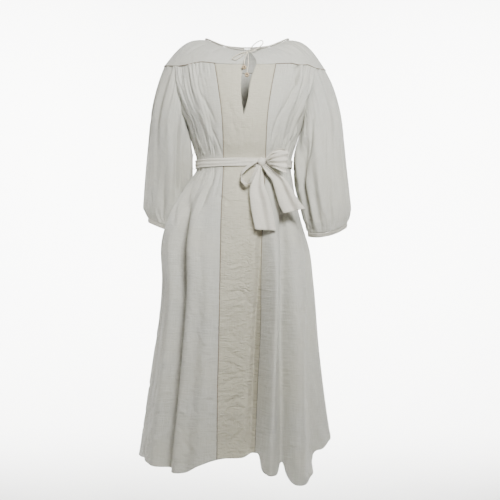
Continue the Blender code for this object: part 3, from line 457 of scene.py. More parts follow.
YOKE_CREASES = metres([
    # angle and down at one end, the same at the other, bow, half width, outward, step
    (34, 6, 46, 85, 4, 8, -3.5, 0.6),
    (50, 10, 56, 95, 3, 8, 3.2, 0),
    (24, 10, 30, 60, 2, 6, -2.2, 0),
    (64, 20, 66, 100, 3, 8, -2.9, 0),
    (-34, 6, -30, 70, 4, 8, -2.9, 0),
    (-50, 10, -56, 90, 4, 9, -2.9, 0),
    (-70, 20, -66, 100, 2, 9, 2.6, 0),
    (120, 10, 128, 90, 3, 8, -2.9, 0),
    (-124, 10, -130, 90, 3, 8, -2.9, 0),
    (172, 20, 166, 100, 3, 9, -2.2, 0),
    (-160, 20, -166, 90, 3, 8, -2.2, 0),
], ANGLES_OF_CREASE)
SLEEVE_WAVES = 11
FINE_SLEEVE_WAVES = 46
YOKE_ARC_HALF = 60.0
APART_AT_YOKE = 0.0012
APART_BELOW = 0.0012
SLEEVE_EDGE_DROP = 1.3 * YOKE_GAP
SLEEVE_BLEND = 0.38
SLEEVE_EDGE_SHARE = 0.03
CUFF_RIGHT = (-0.533, 0.013, 0.012)
CUFF_LEFT = (-0.522, 0.020, 0.004)
CUFF_HEIGHT = 0.012
CUFF_DRAW = 0.02
CUFF_ROUND = 0.012
CUFF_GIRTH = 0.36
CUFF_WALL = 0.0016
CARRIER_ROUTE_HEIGHTS = (-0.318, -0.326, -0.345, -0.361, -0.369)
CARRIER_ROUTE_SHARES = (0.0, 0.7, 1.0, 1.0, 0.25)
CARRIER_RADIUS = 0.0009
CARRIER_ANGLE = 87.0
CARRIER_CLEAR = 0.0008
BELT_OFF_BODY = 0.0040
BELT_LAYERS = 0.0022
BELT_WALL = 0.0018
BELT_COLUMNS = 240
BELT_STEP = 0.0012
BELT_RIB = 0.0005
BELT_CROWN = 0.0008
BELT_LENGTH = 0.80
BINDING_RADIUS = 0.0024
BINDING_LIFT = 0.00048
TIE_RADIUS = 0.0015
BEAD_RADIUS = 0.0065
SASH_EDGE = (
    # angle, where the upper layer's edge runs: -1 is the sash's top, 1 its bottom
    (-180, -0.2), (-120, -0.5), (-90, -0.75), (-60, -0.65), (-20, -0.3),
    (12, 0.15), (24, 0.4), (60, -0.2), (110, -0.55), (180, -0.2),
)
BELT_KNOT = (0.046, -0.1180, -0.354)
BELT_KNOT_SIZE = (0.012, 0.008, 0.012)
TIE_KNOT = (0.0062, -0.0978, -0.050)
TIE_KNOT_SIZE = (0.0040, 0.0035, 0.0045)
TAIL_HOLLOW = 0.004
TAIL_LEFT = metres([
    # x, y, z, half width, turn, lean
    (40, -120.5, -364.3, 5, 0, -31),
    (36, -131, -392, 14, 12, 4),
    (34, -139, -425, 21, 12, 8),
    (41, -145, -460, 26, 6, 6),
    (49, -150, -501, 28, 0, 4),
    (57, -155, -542, 28, -4, -3),
], (4, 5))
TAIL_RIGHT = metres([
    # x, y, z, half width, turn, lean
    (52, -120.5, -364.3, 5, 0, 31),
    (74, -126, -385, 14, 16, 20),
    (93, -132, -405, 20, 16, 0),
    (106, -139, -433, 24, 14, 0),
    (120, -144, -466, 28, 10, 6),
    (134, -147, -490, 30, 8, 12),
], (4, 5))
LOOP_LEFT = metres([
    # x, y, z, half width, turn, lean
    (33.8, -119.5, -352.7, 5, 60, -60),
    (10, -126, -368, 8, 60, -62),
    (-8, -132, -386, 9, 62, -80),
    (-9, -137, -402, 9, 64, -110),
    (4, -142, -416, 9, 66, -150),
    (15, -146, -414, 8, 66, -190),
    (22, -146, -398, 8, 64, -210),
    (30, -138, -380, 6, 60, -215),
    (34, -130, -366, 5, 60, -215),
], (4, 5))
LOOP_RIGHT = metres([
    # x, y, z, half width, turn, lean
    (58, -118.5, -351, 5, 0, 100),
    (75, -121, -338, 13, 10, 84),
    (94, -124, -340, 22, 8, 84),
    (112, -130, -351, 29, 4, 84),
    (115, -142, -356, 31, 0, 86),
    (100, -150, -356, 28, -4, 92),
    (80, -146, -355, 19, -6, 98),
    (62.5, -127, -354.5, 7, -6, 98),
], (4, 5))
TIE_LOOP_LEFT = metres([
    (1.4, -97.6, -50), (-10, -104, -54), (-26, -110, -63), (-34, -115, -71),
    (-27, -118, -75), (-13, -115, -67), (-0.5, -104, -55),
])
TIE_LOOP_RIGHT = metres([
    (11, -97.4, -48.5), (18, -96, -37), (32, -97, -24), (46, -98, -18),
    (50, -100, -26), (36, -103, -40), (22, -104, -48), (12, -101.2, -51.2),
])
TIE_END_LEFT = metres([
    (4.3, -99.8, -54), (3.8, -108, -60.5), (1, -117, -70.5), (-1.2, -127, -81.5),
    (-1.5, -133, -91.5),
])
TIE_END_RIGHT = metres([
    (7.9, -99.8, -54), (9.5, -108, -62), (10.2, -118, -74), (9, -129, -92),
    (6, -139, -113),
])


def smooth_step(value):
    """Rises smoothly from 0 to 1: 3s^2 - 2s^3, with s the value cut to 0..1."""
    share = np.clip(value, 0.0, 1.0)
    return share * share * (3.0 - 2.0 * share)


def through(table, column, at):
    """A smooth cubic curve through one column of a table, read against its first column."""
    rows = np.array(table, float)
    keys, values = rows[:, 0], rows[:, column]
    if keys[0] > keys[-1]:
        keys, values = keys[::-1], values[::-1]
    steps = np.diff(values) / np.diff(keys)
    slopes = np.concatenate([steps[:1], 0.5 * (steps[:-1] + steps[1:]), steps[-1:]])
    slopes[np.concatenate([[False], steps[:-1] * steps[1:] <= 0.0, [False]])] = 0.0
    at = np.clip(at, keys[0], keys[-1])
    piece = np.clip(np.searchsorted(keys, at) - 1, 0, len(keys) - 2)
    span = keys[piece + 1] - keys[piece]
    share = (at - keys[piece]) / span
    back = 1.0 - share
    return (
        values[piece] * back * back * (1.0 + 2.0 * share)
        + values[piece + 1] * share * share * (3.0 - 2.0 * share)
        + span * share * back * (slopes[piece] * back - slopes[piece + 1] * share)
    )


def wrapped(angle):
    """The same angle between -180 and 180."""
    return (angle + 180.0) % 360.0 - 180.0


def smooth_route(knots, count):
    """Points along a smooth curve through the knots."""
    table = np.column_stack([even(len(knots)), np.array(knots)])
    return stacked(*(through(table, column, even(count)) for column in (1, 2, 3)))


def unit(vectors):
    """Each vector divided by its length."""
    return vectors / np.maximum(np.linalg.norm(vectors, axis=-1, keepdims=True), 1e-9)


def outward(points):
    """Normals of a grid: the cross product of its differences along rows and columns."""
    return unit(np.cross(np.gradient(points, axis=0), np.gradient(points, axis=1)))


def stacked(*parts):
    """Arrays brought to one shape and set side by side as the last axis."""
    return np.stack(np.broadcast_arrays(*parts), axis=-1)


def even(count):
    """Shares from 0 to 1 in equal steps."""
    return np.linspace(0.0, 1.0, count)


# Making pieces.


def linear(shade):
    """An sRGB hex colour as linear red, green, blue and alpha."""
    parts = [int(shade[place:place + 2], 16) / 255 for place in (1, 3, 5)]
    return [p / 12.92 if p <= 0.04045 else ((p + 0.055) / 1.055) ** 2.4 for p in parts] + [1.0]


def add(tree, kind, inputs=(), **settings):
    """One shader node with its settings; an input takes a number, a colour or another socket."""
    made = tree.nodes.new(kind)
    for name, value in settings.items():
        setattr(made, name, value)
    for name, value in dict(inputs).items():
        if isinstance(value, bpy.types.NodeSocket):
            tree.links.new(value, made.inputs[name])
        else:
            made.inputs[name].default_value = value
    return made


def make_mesh(name, points, faces, coords=None, ends=()):
    """A mesh of four-sided faces from whole arrays, with map coordinates in metres for each face corner."""
    mesh = bpy.data.meshes.new(name)
    corners = np.concatenate([faces.ravel(), *[np.asarray(end) for end in ends]]).astype(np.int32)
    sizes = np.concatenate([np.full(len(faces), 4), [len(end) for end in ends]]).astype(np.int32)
    mesh.vertices.add(len(points))
    mesh.vertices.foreach_set("co", np.asarray(points, np.float32).ravel())
    mesh.loops.add(len(corners))
    mesh.loops.foreach_set("vertex_index", corners)
    mesh.polygons.add(len(sizes))
    mesh.polygons.foreach_set("loop_start", np.concatenate([[0], np.cumsum(sizes)[:-1]]).astype(np.int32))
    if coords is not None:
        layer = mesh.uv_layers.new(name="cloth")
        spare = np.zeros((len(corners) - len(coords), 2))
        layer.data.foreach_set("uv", np.concatenate([coords, spare]).astype(np.float32).ravel())
    mesh.update(calc_edges=True)
    mesh.validate()
    mesh.polygons.foreach_set("use_smooth", np.ones(len(mesh.polygons), bool))
    return mesh


def grid_faces(rows, columns, round_columns=False):
    """Corner indices of a grid's faces, and the same with the last column not closed to the first."""
    across = columns if round_columns else columns - 1
    row, column = np.meshgrid(np.arange(rows - 1), np.arange(across), indexing="ij")
    row, column = row.ravel(), column.ravel()
    corner_rows = stacked(row, row + 1, row + 1, row)
    corner_columns = stacked(column, column, column + 1, column + 1)
    return corner_rows * columns + corner_columns % columns, corner_rows, corner_columns


def give_wall(made, wall):
    """Makes a sheet a wall, half of it on either side."""
    shell = made.modifiers.new("wall", "SOLIDIFY")
    shell.thickness = wall
    shell.offset = 0.0
    shell.use_even_offset = False


def piece(name, mesh, finish, slot, nodes=(), wall=0.0):
    """Adds the object, gives it its wall, and ties it to the frame."""
    made = bpy.data.objects.new(name, mesh)
    bpy.context.scene.collection.objects.link(made)
    mesh.materials.append(finish)
    if wall:
        give_wall(made, wall)
    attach(made, "root")
    if nodes:
        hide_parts(*nodes)
    return made


def cloth(
    name, points, coords, finish, slot, nodes=(), wall=CLOTH, round_columns=False, flip=False, keep=None
):
    """A cloth piece: its grid is the middle of the wall; coords are metres across and down the cloth."""
    rows, columns = points.shape[:2]
    faces, corner_rows, corner_columns = grid_faces(rows, columns, round_columns)
    if keep is not None:
        faces, corner_rows, corner_columns = faces[keep], corner_rows[keep], corner_columns[keep]
    if flip:
        faces, corner_rows, corner_columns = (grid[:, ::-1] for grid in (faces, corner_rows, corner_columns))
    spots = coords[corner_rows, corner_columns].reshape(-1, 2)
    return piece(name, make_mesh(name, points.reshape(-1, 3), faces, spots), finish, slot, nodes, wall)


def end_faces(rows, around):
    """The faces that close a round grid's first and last rows."""
    first = np.arange(around)
    return [first, (rows - 1) * around + first[::-1]]


def round_turn(around):
    """Angles of a ring's points in radians."""
    return np.arange(around) * 2.0 * math.pi / around


def round_coords(columns, shares, girth, length):
    """Metres round and down a tube of cloth, with the seam's column twice."""
    whole, down = np.broadcast_arrays(even(columns + 1), shares)
    return stacked(whole * girth, down * length)


def tube_mesh(name, path, radius, aside, around=8, lobes=0, lay=0.0, depth=0.0):
    """A profile carried along a path: rings of the given radius round each point, square to the path.

    With lobes, the radius is r (1 - depth |sin(lobes (a - lay s) / 2)|), which winds strands round it.
    """
    tangent = unit(np.gradient(path, axis=0))
    first = unit(aside - np.sum(tangent * aside, axis=-1, keepdims=True) * tangent)
    second = np.cross(tangent, first)
    turn = round_turn(around)
    run = np.concatenate([[0.0], np.cumsum(np.linalg.norm(np.diff(path, axis=0), axis=1))])
    swell = np.broadcast_to(np.asarray(radius, float), run.shape)[:, None] * np.ones(around)
    if lobes:
        swell = swell * (1.0 - depth * np.abs(np.sin(0.5 * lobes * (turn - lay * run[:, None]))))
    spokes = first[:, None] * np.cos(turn)[:, None] + second[:, None] * np.sin(turn)[:, None]
    points = path[:, None] + spokes * swell[..., None]
    faces, corner_rows, corner_columns = grid_faces(len(path), around, True)
    girth = 2.0 * math.pi * float(np.mean(swell)) / around
    coords = stacked(corner_columns * girth, run[corner_rows]).reshape(-1, 2)
    ends = end_faces(len(path), around)
    return make_mesh(name, points.reshape(-1, 3), faces[:, ::-1], coords[:, ::-1], ends), run[-1]


# The body.


def yoke_edge_height(angle):
    """Height of the yoke's lower seam: an even curve, less its dips."""
    angle = wrapped(angle)
    middle = np.where(np.cos(angle * DEGREE) > 0.0, YOKE_FRONT_HEIGHT, YOKE_BACK_HEIGHT)
    side = np.sin(angle * DEGREE) ** 2
    return middle + (YOKE_SIDE_HEIGHT - middle) * side - through(YOKE_DIPS, 1, angle)


def body_ring(angle, height):
    """The smooth section: (wide sin a, -deep cos a), and the direction square to it."""
    sine, cosine = np.sin(angle * DEGREE), np.cos(angle * DEGREE)
    left, right, front, back = (through(BODY_SECTIONS, column, height) for column in range(1, 5))
    wide = np.where(sine < 0.0, left, right)
    deep = np.where(cosine > 0.0, front, back)
    square = stacked(sine / wide, -cosine / deep)
    return stacked(wide * sine, -deep * cosine), unit(square)


def worn_angle(cloth_angle, height):
    """Where a line of the cloth lies on the body: the panel's seams bend with the photo's."""
    left = np.arcsin(through(PANEL_SEAMS, 1, height) / through(BODY_SECTIONS, 1, height)) / DEGREE
    right = np.arcsin(through(PANEL_SEAMS, 2, height) / through(BODY_SECTIONS, 2, height)) / DEGREE
    inside = left + (right - left) * (cloth_angle + PANEL_ANGLE) / (2.0 * PANEL_ANGLE)
    on_left = -90.0 + (left + 90.0) * (cloth_angle + 90.0) / (90.0 - PANEL_ANGLE)
    on_right = 90.0 - (90.0 - right) * (90.0 - cloth_angle) / (90.0 - PANEL_ANGLE)
    worn = np.where(cloth_angle > PANEL_ANGLE, on_right, inside)
    worn = np.where(cloth_angle < -PANEL_ANGLE, on_left, worn)
    return np.where(np.abs(cloth_angle) > 90.0, cloth_angle, worn)


def fold_depth(angle, height):
    """The large folds: each is outward exp(-(off / half width)^2) along its own bent line."""
    total = np.zeros(np.broadcast(angle, height).shape)
    for begins, full, ends, angle_start, angle_full, angle_hem, half_width, out in FOLDS:
        grown = smooth_step((height - begins) / (full - begins))
        kept = 1.0 - smooth_step((height - full) / (ends - full))
        path = ((0.0, angle_start), (full - begins, angle_full), (HEM_LEVEL - begins, angle_hem))
        away = wrapped(angle - through(path, 1, height - begins)) / half_width
        total = total + out * grown * kept * np.exp(-away * away)
    return total


def crinkled(table, seed, reach):
    """Short creases for crease_depth, strewn over the table's fields by a seeded generator."""
    strewn = np.random.default_rng(seed)
    rows = []
    for side_from, side_to, up_from, up_to, count, slope_from, slope_to, length, half_width, depth in table:
        count = int(count)
        across = strewn.uniform(side_from, side_to, count)
        up = up_from + (up_to - up_from) * strewn.random(count)
        slope = strewn.uniform(slope_from, slope_to, count) * DEGREE
        run = 0.5 * length * strewn.uniform(0.6, 1.3, count)
        out = depth * strewn.uniform(0.5, 1.0, count) * np.where(strewn.random(count) < 0.7, -1.0, 1.0)
        aside = run * np.cos(slope) / reach
        rise = run * np.sin(slope)
        bow = run * strewn.uniform(-0.25, 0.25, count)
        wide = half_width * strewn.uniform(0.8, 1.2, count)
        ends = [across - aside, up - rise, across + aside, up + rise]
        rows.append(stacked(*ends, bow, wide, out, 0.5 * out))
    return np.concatenate(rows)


def crease_depth(across, up, creases, reach):
    """Creases from one end to the other, each fading at its ends.

    With t the way off the bowed line over the half width, a crease is (outward + gain step t) exp(-t^2).
    Reach is how many metres a degree is, as a number or as a function of the height at a crease's middle.
    """
    total = np.zeros(np.broadcast(across, up).shape)
    for side_from, up_from, side_to, up_to, bow, half_width, out, step in creases:
        scale = reach(0.5 * (up_from + up_to)) if callable(reach) else reach
        line_across, line_up = wrapped(side_to - side_from) * scale, up_to - up_from
        length = math.hypot(line_across, line_up)
        off_across, off_up = wrapped(across - side_from) * scale, up - up_from
        along = (off_across * line_across + off_up * line_up) / length ** 2
        away = (off_across * line_up - off_up * line_across) / length + 4.0 * bow * along * (1.0 - along)
        off = away / half_width
        kept = smooth_step(along / CREASE_FADE) * smooth_step((1.0 - along) / CREASE_FADE)
        total = total + kept * (out + STEP_GAIN * step * off) * np.exp(-off * off)
    return total


def body_reach(height):
    """Metres to a degree round the body."""
    return through(BODY_SECTIONS, 2, height) * DEGREE


BODY_CRINKLES = crinkled(CRINKLES, 11, BODY_REACH)


def body_creases(cloth_angle, angle, height):
    """The body's creases; they lie flat under the yoke's seam and under the sash."""
    from_sash = smooth_step((np.abs(height - 0.5 * (BELT_TOP + BELT_BOTTOM)) - SASH_MARGIN) / SASH_FADE)
    from_yoke = smooth_step((yoke_edge_height(cloth_angle) - height) / YOKE_FADE)
    depth = crease_depth(angle, height, CREASES, body_reach)
    depth = depth + crease_depth(angle, height, BODY_CRINKLES, body_reach)
    return depth * from_sash * from_yoke


def seam_depth(cloth_angle, height):
    """The cloth dips along the panel's seams and thickens over the hem's turned edge."""
    off = (np.abs(cloth_angle) - PANEL_ANGLE) * body_reach(height) / SEAM_DIP_WIDTH
    hem = through(HEM_HEIGHTS, 1, wrapped(cloth_angle))
    turned = smooth_step((hem + HEM_TURNED - height) / HEM_STEP_WIDTH)
    return HEM_STEP * turned - SEAM_DIP * np.exp(-off * off)


def gather_depth(cloth_angle, height):
    """Broad gathers with fine ones between them; both lie flat at the seams and on the centre panel."""
    from_panel = smooth_step((np.abs(cloth_angle) - PANEL_ANGLE) / GATHER_FADE)
    from_side = smooth_step(np.abs(np.abs(cloth_angle) - 90.0) / GATHER_FADE)
    turn = cloth_angle * DEGREE
    drift = 0.7 * np.sin(5.0 * turn + 0.6) + 0.5 * np.sin(11.0 * turn)
    broad = np.cos(GATHERS_IN_TURN * turn + drift) * (0.75 + 0.25 * np.sin(7.0 * turn + 1.3))
    fine_turn = FINE_GATHERS_IN_TURN * turn + 2.2 * np.sin(13.0 * turn) + 1.1 * np.sin(29.0 * turn + 1.0)
    fine = np.cos(fine_turn) * (0.65 + 0.35 * np.sin(17.0 * turn))
    uneven = 0.55 + 0.45 * np.sin(4.0 * turn + 11.0 * height + 1.5 * np.sin(9.0 * turn))
    uneven = uneven * (1.0 - 0.45 * smooth_step((GATHERS_EVEN_FROM - height) / GATHERS_EVEN_OVER))
    aside = np.abs(wrapped(cloth_angle))
    broad = broad * uneven * through(GATHER_SHARES, 1, aside)
    fine = fine * through(GATHER_SHARES, 2, aside)
    depth = through(GATHERS, 1, height) * broad + through(GATHERS, 2, height) * fine
    return depth * from_panel * from_side


def body_point(cloth_angle, height):
    """The body's middle surface: the smooth section moved out by folds and gathers."""
    angle = worn_angle(cloth_angle, height)
    ring, out = body_ring(angle, height)
    depth = fold_depth(angle, height) + gather_depth(cloth_angle, height)
    depth = depth + seam_depth(cloth_angle, height) + body_creases(cloth_angle, angle, height)
    level = np.broadcast_to(height, depth.shape)[..., None]
    return np.concatenate([ring + out * depth[..., None], level], axis=-1)


def armhole_cloth(turn, corner):
    """Cloth angle and height down an armhole, from the yoke's corner (turn 0) to the underarm (90)."""
    underarm = 90.0 * np.sign(corner)
    top = yoke_edge_height(np.asarray(corner))
    angle = corner + (underarm - corner) * (1.0 - np.cos(turn * DEGREE))
    return angle, top + (UNDERARM_HEIGHT - top) * np.sin(turn * DEGREE)


# Rows and columns crowd a little where the cloth is gathered: a share raised to a power above 1.
BODICE_ROWS = 76
SKIRT_ROWS = 175
ROWS_CROWDED = 1.12
COLUMNS_CROWDED = 1.15
BODICE_SHARES = even(BODICE_ROWS + 1)
SKIRT_SHARES = even(SKIRT_ROWS + 1) ** ROWS_CROWDED
SLIT_ROW = round(SLIT_BOTTOM_SHARE * BODICE_ROWS)


def body_rows(tops, hems):
    """Heights of a body grid: rows meet the sash's two edges on every column."""
    tops = tops - YOKE_GAP
    bodice = tops + (BELT_TOP - tops) * BODICE_SHARES[:, None]
    between = np.linspace(BELT_TOP, BELT_BOTTOM, 6)[1:-1, None] * np.ones_like(tops)
    skirt = BELT_BOTTOM + (hems - BELT_BOTTOM) * SKIRT_SHARES[:, None]
    return np.concatenate([bodice, between, skirt])


def cloth_coords(angles, heights):
    """Metres across and down the cloth: the angle along the cut's own radius, and the height."""
    return stacked(np.broadcast_to(angles, heights.shape) * DEGREE * BODY_CUT_RADIUS, heights)


def center_panel_half(side):
    """The centre panel from its middle line to one long seam, opened along the slit."""
    shares = np.sin(np.linspace(0.0, 0.5 * math.pi, 26))
    cloth_angles = (PANEL_ANGLE - HALF_SEAM_ANGLE) * shares
    heights = body_rows(yoke_edge_height(cloth_angles), through(HEM_HEIGHTS, 1, side * cloth_angles))
    points = body_point(np.broadcast_to(side * cloth_angles, heights.shape), heights)
    in_slit = (np.arange(len(heights)) < SLIT_ROW)[:, None]
    above = smooth_step((heights - heights[SLIT_ROW, 0]) / SLIT_BLEND + 1.0)
    opened = through(SLIT, 1, heights) * above + side * through(SLIT, 2, heights) * in_slit
    points[..., 0] += (opened - points[..., :1, 0] * above) * (1.0 - shares)
    return points, cloth_coords(side * cloth_angles, heights)


def build_center_panel(finish):
    """Both halves in one sheet: they meet below the slit and stand apart along it."""
    left, left_coords = center_panel_half(-1.0)
    right, right_coords = center_panel_half(1.0)
    columns = left.shape[1]
    # Below the slit both halves share the middle column, so the left half's is left out there.
    points = np.concatenate([left[:, ::-1], right], axis=1)
    coords = np.concatenate([left_coords[:, ::-1], right_coords], axis=1)
    middle = 0.5 * (points[SLIT_ROW:, columns - 1] + points[SLIT_ROW:, columns])
    points[SLIT_ROW:, columns - 1] = middle
    points[SLIT_ROW:, columns] = middle
    rows, width = points.shape[:2]
    keep = (np.arange((rows - 1) * (width - 1)) % (width - 1)) != columns - 1
    made = cloth("center_panel", points, coords, finish, "linen", ["front_center_panel"], wall=0.0, keep=keep)
    weld(made)
    give_wall(made, CLOTH)


def weld(made):
    """Makes points one where two edges of a grid meet."""
    work = bmesh.new()
    work.from_mesh(made.data)
    bmesh.ops.remove_doubles(work, verts=work.verts, dist=0.00005)
    work.to_mesh(made.data)
    work.free()


def build_side_front(name, node, side, finish):
    """A side front: level under the yoke, then down the front of the armhole."""
    gathered = side * (PANEL_ANGLE + (ARMHOLE_ANGLE - PANEL_ANGLE) * even(81) ** COLUMNS_CROWDED)
    armhole, drops = armhole_cloth(np.linspace(0.0, 90.0, 45), side * ARMHOLE_ANGLE)
    angles = np.concatenate([gathered, armhole[1:]])
    tops = np.concatenate([yoke_edge_height(gathered), drops[1:]])
    angles[0] += side * HALF_SEAM_ANGLE
    angles[-1] -= side * HALF_SEAM_ANGLE
    heights = body_rows(tops, through(HEM_HEIGHTS, 1, angles))
    points = body_point(np.broadcast_to(angles, heights.shape), heights)
    made = cloth(name, points, cloth_coords(angles, heights), finish, "linen", [node], flip=side < 0.0)


def build_back(finish):
    """The back, with half of each armhole at its ends."""
    corner = 180.0 - ARMHOLE_ANGLE
    turns = np.linspace(0.0, 90.0, 31)
    right, right_drops = armhole_cloth(turns, corner)
    left, left_drops = armhole_cloth(turns, -corner)
    plain = np.linspace(corner, 360.0 - corner, 129)
    angles = np.concatenate([right[:0:-1], plain, 360.0 + left[1:]])
    tops = np.concatenate([right_drops[:0:-1], yoke_edge_height(plain), left_drops[1:]])
    angles[0] += HALF_SEAM_ANGLE
    angles[-1] -= HALF_SEAM_ANGLE
    heights = body_rows(tops, through(HEM_HEIGHTS, 1, wrapped(angles)))
    points = body_point(wrapped(np.broadcast_to(angles, heights.shape)), heights)
    made = cloth("back", points, cloth_coords(angles, heights), finish, "linen", ["back_panel"])


# The yoke.


def neck_ring(angle):
    """The neckline: an oval whose front drops with the square of the cosine."""
    sine, cosine = np.sin(angle * DEGREE), np.cos(angle * DEGREE)
    deep = np.where(cosine > 0.0, NECK_FRONT, NECK_BACK)
    drop = np.where(cosine > 0.0, NECK_FRONT_DROP, NECK_BACK_DROP)
    return stacked(NECK_CENTER + NECK_HALF_WIDTH * sine, -deep * cosine, -drop * cosine * cosine)


def yoke_point(cloth_angle, share):
    """The yoke between the neckline (share 0) and its seam (share 1), arched by sin(pi share)."""
    height = yoke_edge_height(cloth_angle)
    angle = worn_angle(wrapped(cloth_angle), height)
    top = neck_ring(angle)
    ring, _ = body_ring(angle, height)
    bottom = np.concatenate([ring, height[..., None]], axis=-1)
    arch = np.sin(np.pi * share)
    point = top + (bottom - top) * share[..., None]
    creased = crease_depth(wrapped(cloth_angle), share * YOKE_DEPTH, YOKE_CREASES, YOKE_REACH) * arch
    point[..., 2] += creased * np.sin(angle * DEGREE) ** 2
    point[..., 1] -= creased * np.cos(angle * DEGREE)
    point[..., 2] += SHOULDER_RISE * np.sin(angle * DEGREE) ** 2 * arch
    point[..., 1] -= CHEST_RISE * np.cos(angle * DEGREE) * arch
    return point


def build_yoke(name, angles, finish, slit_side=0.0, flip=False):
    """One piece of the yoke; a front half gives way to the slit on its own side."""
    grid_angles, grid_shares = np.broadcast_arrays(angles, even(33)[:, None])
    points = yoke_point(grid_angles, grid_shares)
    if slit_side:
        height = points[..., 2]
        opened = through(SLIT, 1, height) + slit_side * through(SLIT, 2, height)
        at_middle = yoke_point(np.zeros_like(grid_angles), grid_shares)[..., 0]
        points[..., 0] += (opened - at_middle) * smooth_step(1.0 - np.abs(grid_angles) / PANEL_ANGLE)
    coords = stacked(grid_angles * DEGREE * YOKE_CUT_RADIUS, grid_shares * YOKE_DEPTH)
    made = cloth(name + "_cloth", points, coords, finish, "linen", [name], flip=flip)


# The sleeves.


def armhole_ring(around, side):
    """The sleeve's top edge, round the arm: over the yoke's end, then down and up the armhole."""
    around = around % 360.0
    signed = wrapped(around)
    on_yoke = np.abs(signed) <= YOKE_ARC_HALF
    in_front = around < 180.0
    yoke_angle = side * (90.0 - signed * (90.0 - ARMHOLE_ANGLE) / YOKE_ARC_HALF)
    corner = side * np.where(in_front, ARMHOLE_ANGLE, 180.0 - ARMHOLE_ANGLE)
    turn = np.clip((np.abs(signed) - YOKE_ARC_HALF) / (180.0 - YOKE_ARC_HALF), 0.0, 1.0) * 90.0
    seam_angle, seam_height = armhole_cloth(turn, corner)
    angle = np.where(on_yoke, yoke_angle, seam_angle)
    height = np.where(on_yoke, yoke_edge_height(yoke_angle), seam_height)
    points = body_point(angle, height - SLEEVE_EDGE_DROP)
    at_corner = APART_AT_YOKE * (np.abs(signed) / YOKE_ARC_HALF) ** 4
    below = APART_AT_YOKE + APART_BELOW * np.sin(turn * DEGREE) ** 2
    points[..., 0] += side * np.where(on_yoke, at_corner, below)
    return points


CRINKLES_OF_SLEEVES = {
    -1.0: crinkled(SLEEVE_CRINKLES, 21, SLEEVE_REACH),
    1.0: crinkled(SLEEVE_CRINKLES, 22, SLEEVE_REACH),
}


def sleeve_point(around, share, side):
    """The sleeve's tube: the armhole's edge melts into the tables' ellipses, waved by its gathers."""
    table = SLEEVE_RIGHT if side > 0.0 else SLEEVE_LEFT
    outer, inner, middle_y, half_y = (through(table, column, share) for column in range(1, 5))
    turn = around * DEGREE
    cosine, sine = np.cos(turn), np.sin(turn)
    broad = np.cos(SLEEVE_WAVES * turn + 0.8 * np.sin(3.0 * turn) + 0.5)
    fine = np.cos(FINE_SLEEVE_WAVES * turn + 1.8 * np.sin(7.0 * turn)) * (0.7 + 0.3 * np.sin(5.0 * turn))
    uneven = 0.50 + 0.40 * np.sin(2.0 * turn + 5.0 * share + 1.2 * np.sin(5.0 * turn))
    swell = through(SLEEVE_GATHERS, 1, share) * broad * uneven + through(SLEEVE_GATHERS, 2, share) * fine
    down = share * SLEEVE_LENGTH
    creases = SLEEVE_CREASES_RIGHT if side > 0.0 else SLEEVE_CREASES_LEFT
    creased = crease_depth(around, down, creases, SLEEVE_REACH)
    creased = creased + crease_depth(around, down, CRINKLES_OF_SLEEVES[side], SLEEVE_REACH)
    from_edges = smooth_step(share / SLEEVE_EDGE_SHARE) * smooth_step((1.0 - share) / SLEEVE_EDGE_SHARE)
    swell = swell + creased * from_edges
    x = 0.5 * (outer + inner) + side * (0.5 * np.abs(outer - inner) + swell) * cosine
    y = middle_y - (half_y + swell) * sine
    start = armhole_ring(around, side)
    level, tilt, sag = CUFF_RIGHT if side > 0.0 else CUFF_LEFT
    height = start[..., 2] + (level + tilt * cosine - sag * sine * sine - start[..., 2]) * share
    first = table[0]
    first_x, first_half = 0.5 * (first[1] + first[2]), 0.5 * abs(first[1] - first[2])
    off_x = start[..., 0] - (first_x + side * first_half * cosine)
    off_y = start[..., 1] + first[4] * sine
    left_over = 1.0 - smooth_step(share / SLEEVE_BLEND)
    return stacked(x + off_x * left_over, y + off_y * left_over, height)


SLEEVE_COLUMNS = 144
SLEEVE_ROWS = 120
CUFF_ROWS = 6


def build_sleeve(name, side, finish):
    """A full sleeve, open at both ends."""
    around = np.arange(SLEEVE_COLUMNS) * 360.0 / SLEEVE_COLUMNS
    shares = even(SLEEVE_ROWS + 1)[:, None]
    grid_around, grid_shares = np.broadcast_arrays(around, shares)
    points = sleeve_point(grid_around, grid_shares, side)
    coords = round_coords(SLEEVE_COLUMNS, shares, SLEEVE_GIRTH, SLEEVE_LENGTH)
    made = cloth(
        name + "_cloth", points, coords, finish, "linen", [name], round_columns=True, flip=side > 0.0
    )


def build_cuff(name, side, finish):
    """The narrow band that holds the sleeve's lower edge, rounded across its height."""
    around = np.arange(SLEEVE_COLUMNS) * 360.0 / SLEEVE_COLUMNS
    edge = sleeve_point(around, np.ones_like(around), side)
    shares = even(CUFF_ROWS + 1)[:, None]
    inward = (edge.mean(axis=0) - edge) * np.array([1.0, 1.0, 0.0])
    drawn = CUFF_DRAW * shares - CUFF_ROUND * np.sin(math.pi * shares)
    points = edge + inward * drawn[..., None]
    points[..., 2] -= YOKE_GAP + (CUFF_HEIGHT - YOKE_GAP) * shares
    coords = round_coords(SLEEVE_COLUMNS, shares, CUFF_GIRTH, CUFF_HEIGHT)
    made = cloth(
        name + "_band", points, coords, finish, "binding_linen", [name],
        wall=CUFF_WALL, round_columns=True, flip=side > 0.0,
    )


# Seams.


def seam_roll(name, path, radius, finish):
    """A narrow roll that fills a seam between two pieces, or pipes it."""
    mesh, _ = tube_mesh(name, path, radius, np.array((0.0, 1.0, 0.3)), 8)
    piece(name, mesh, finish, "linen")


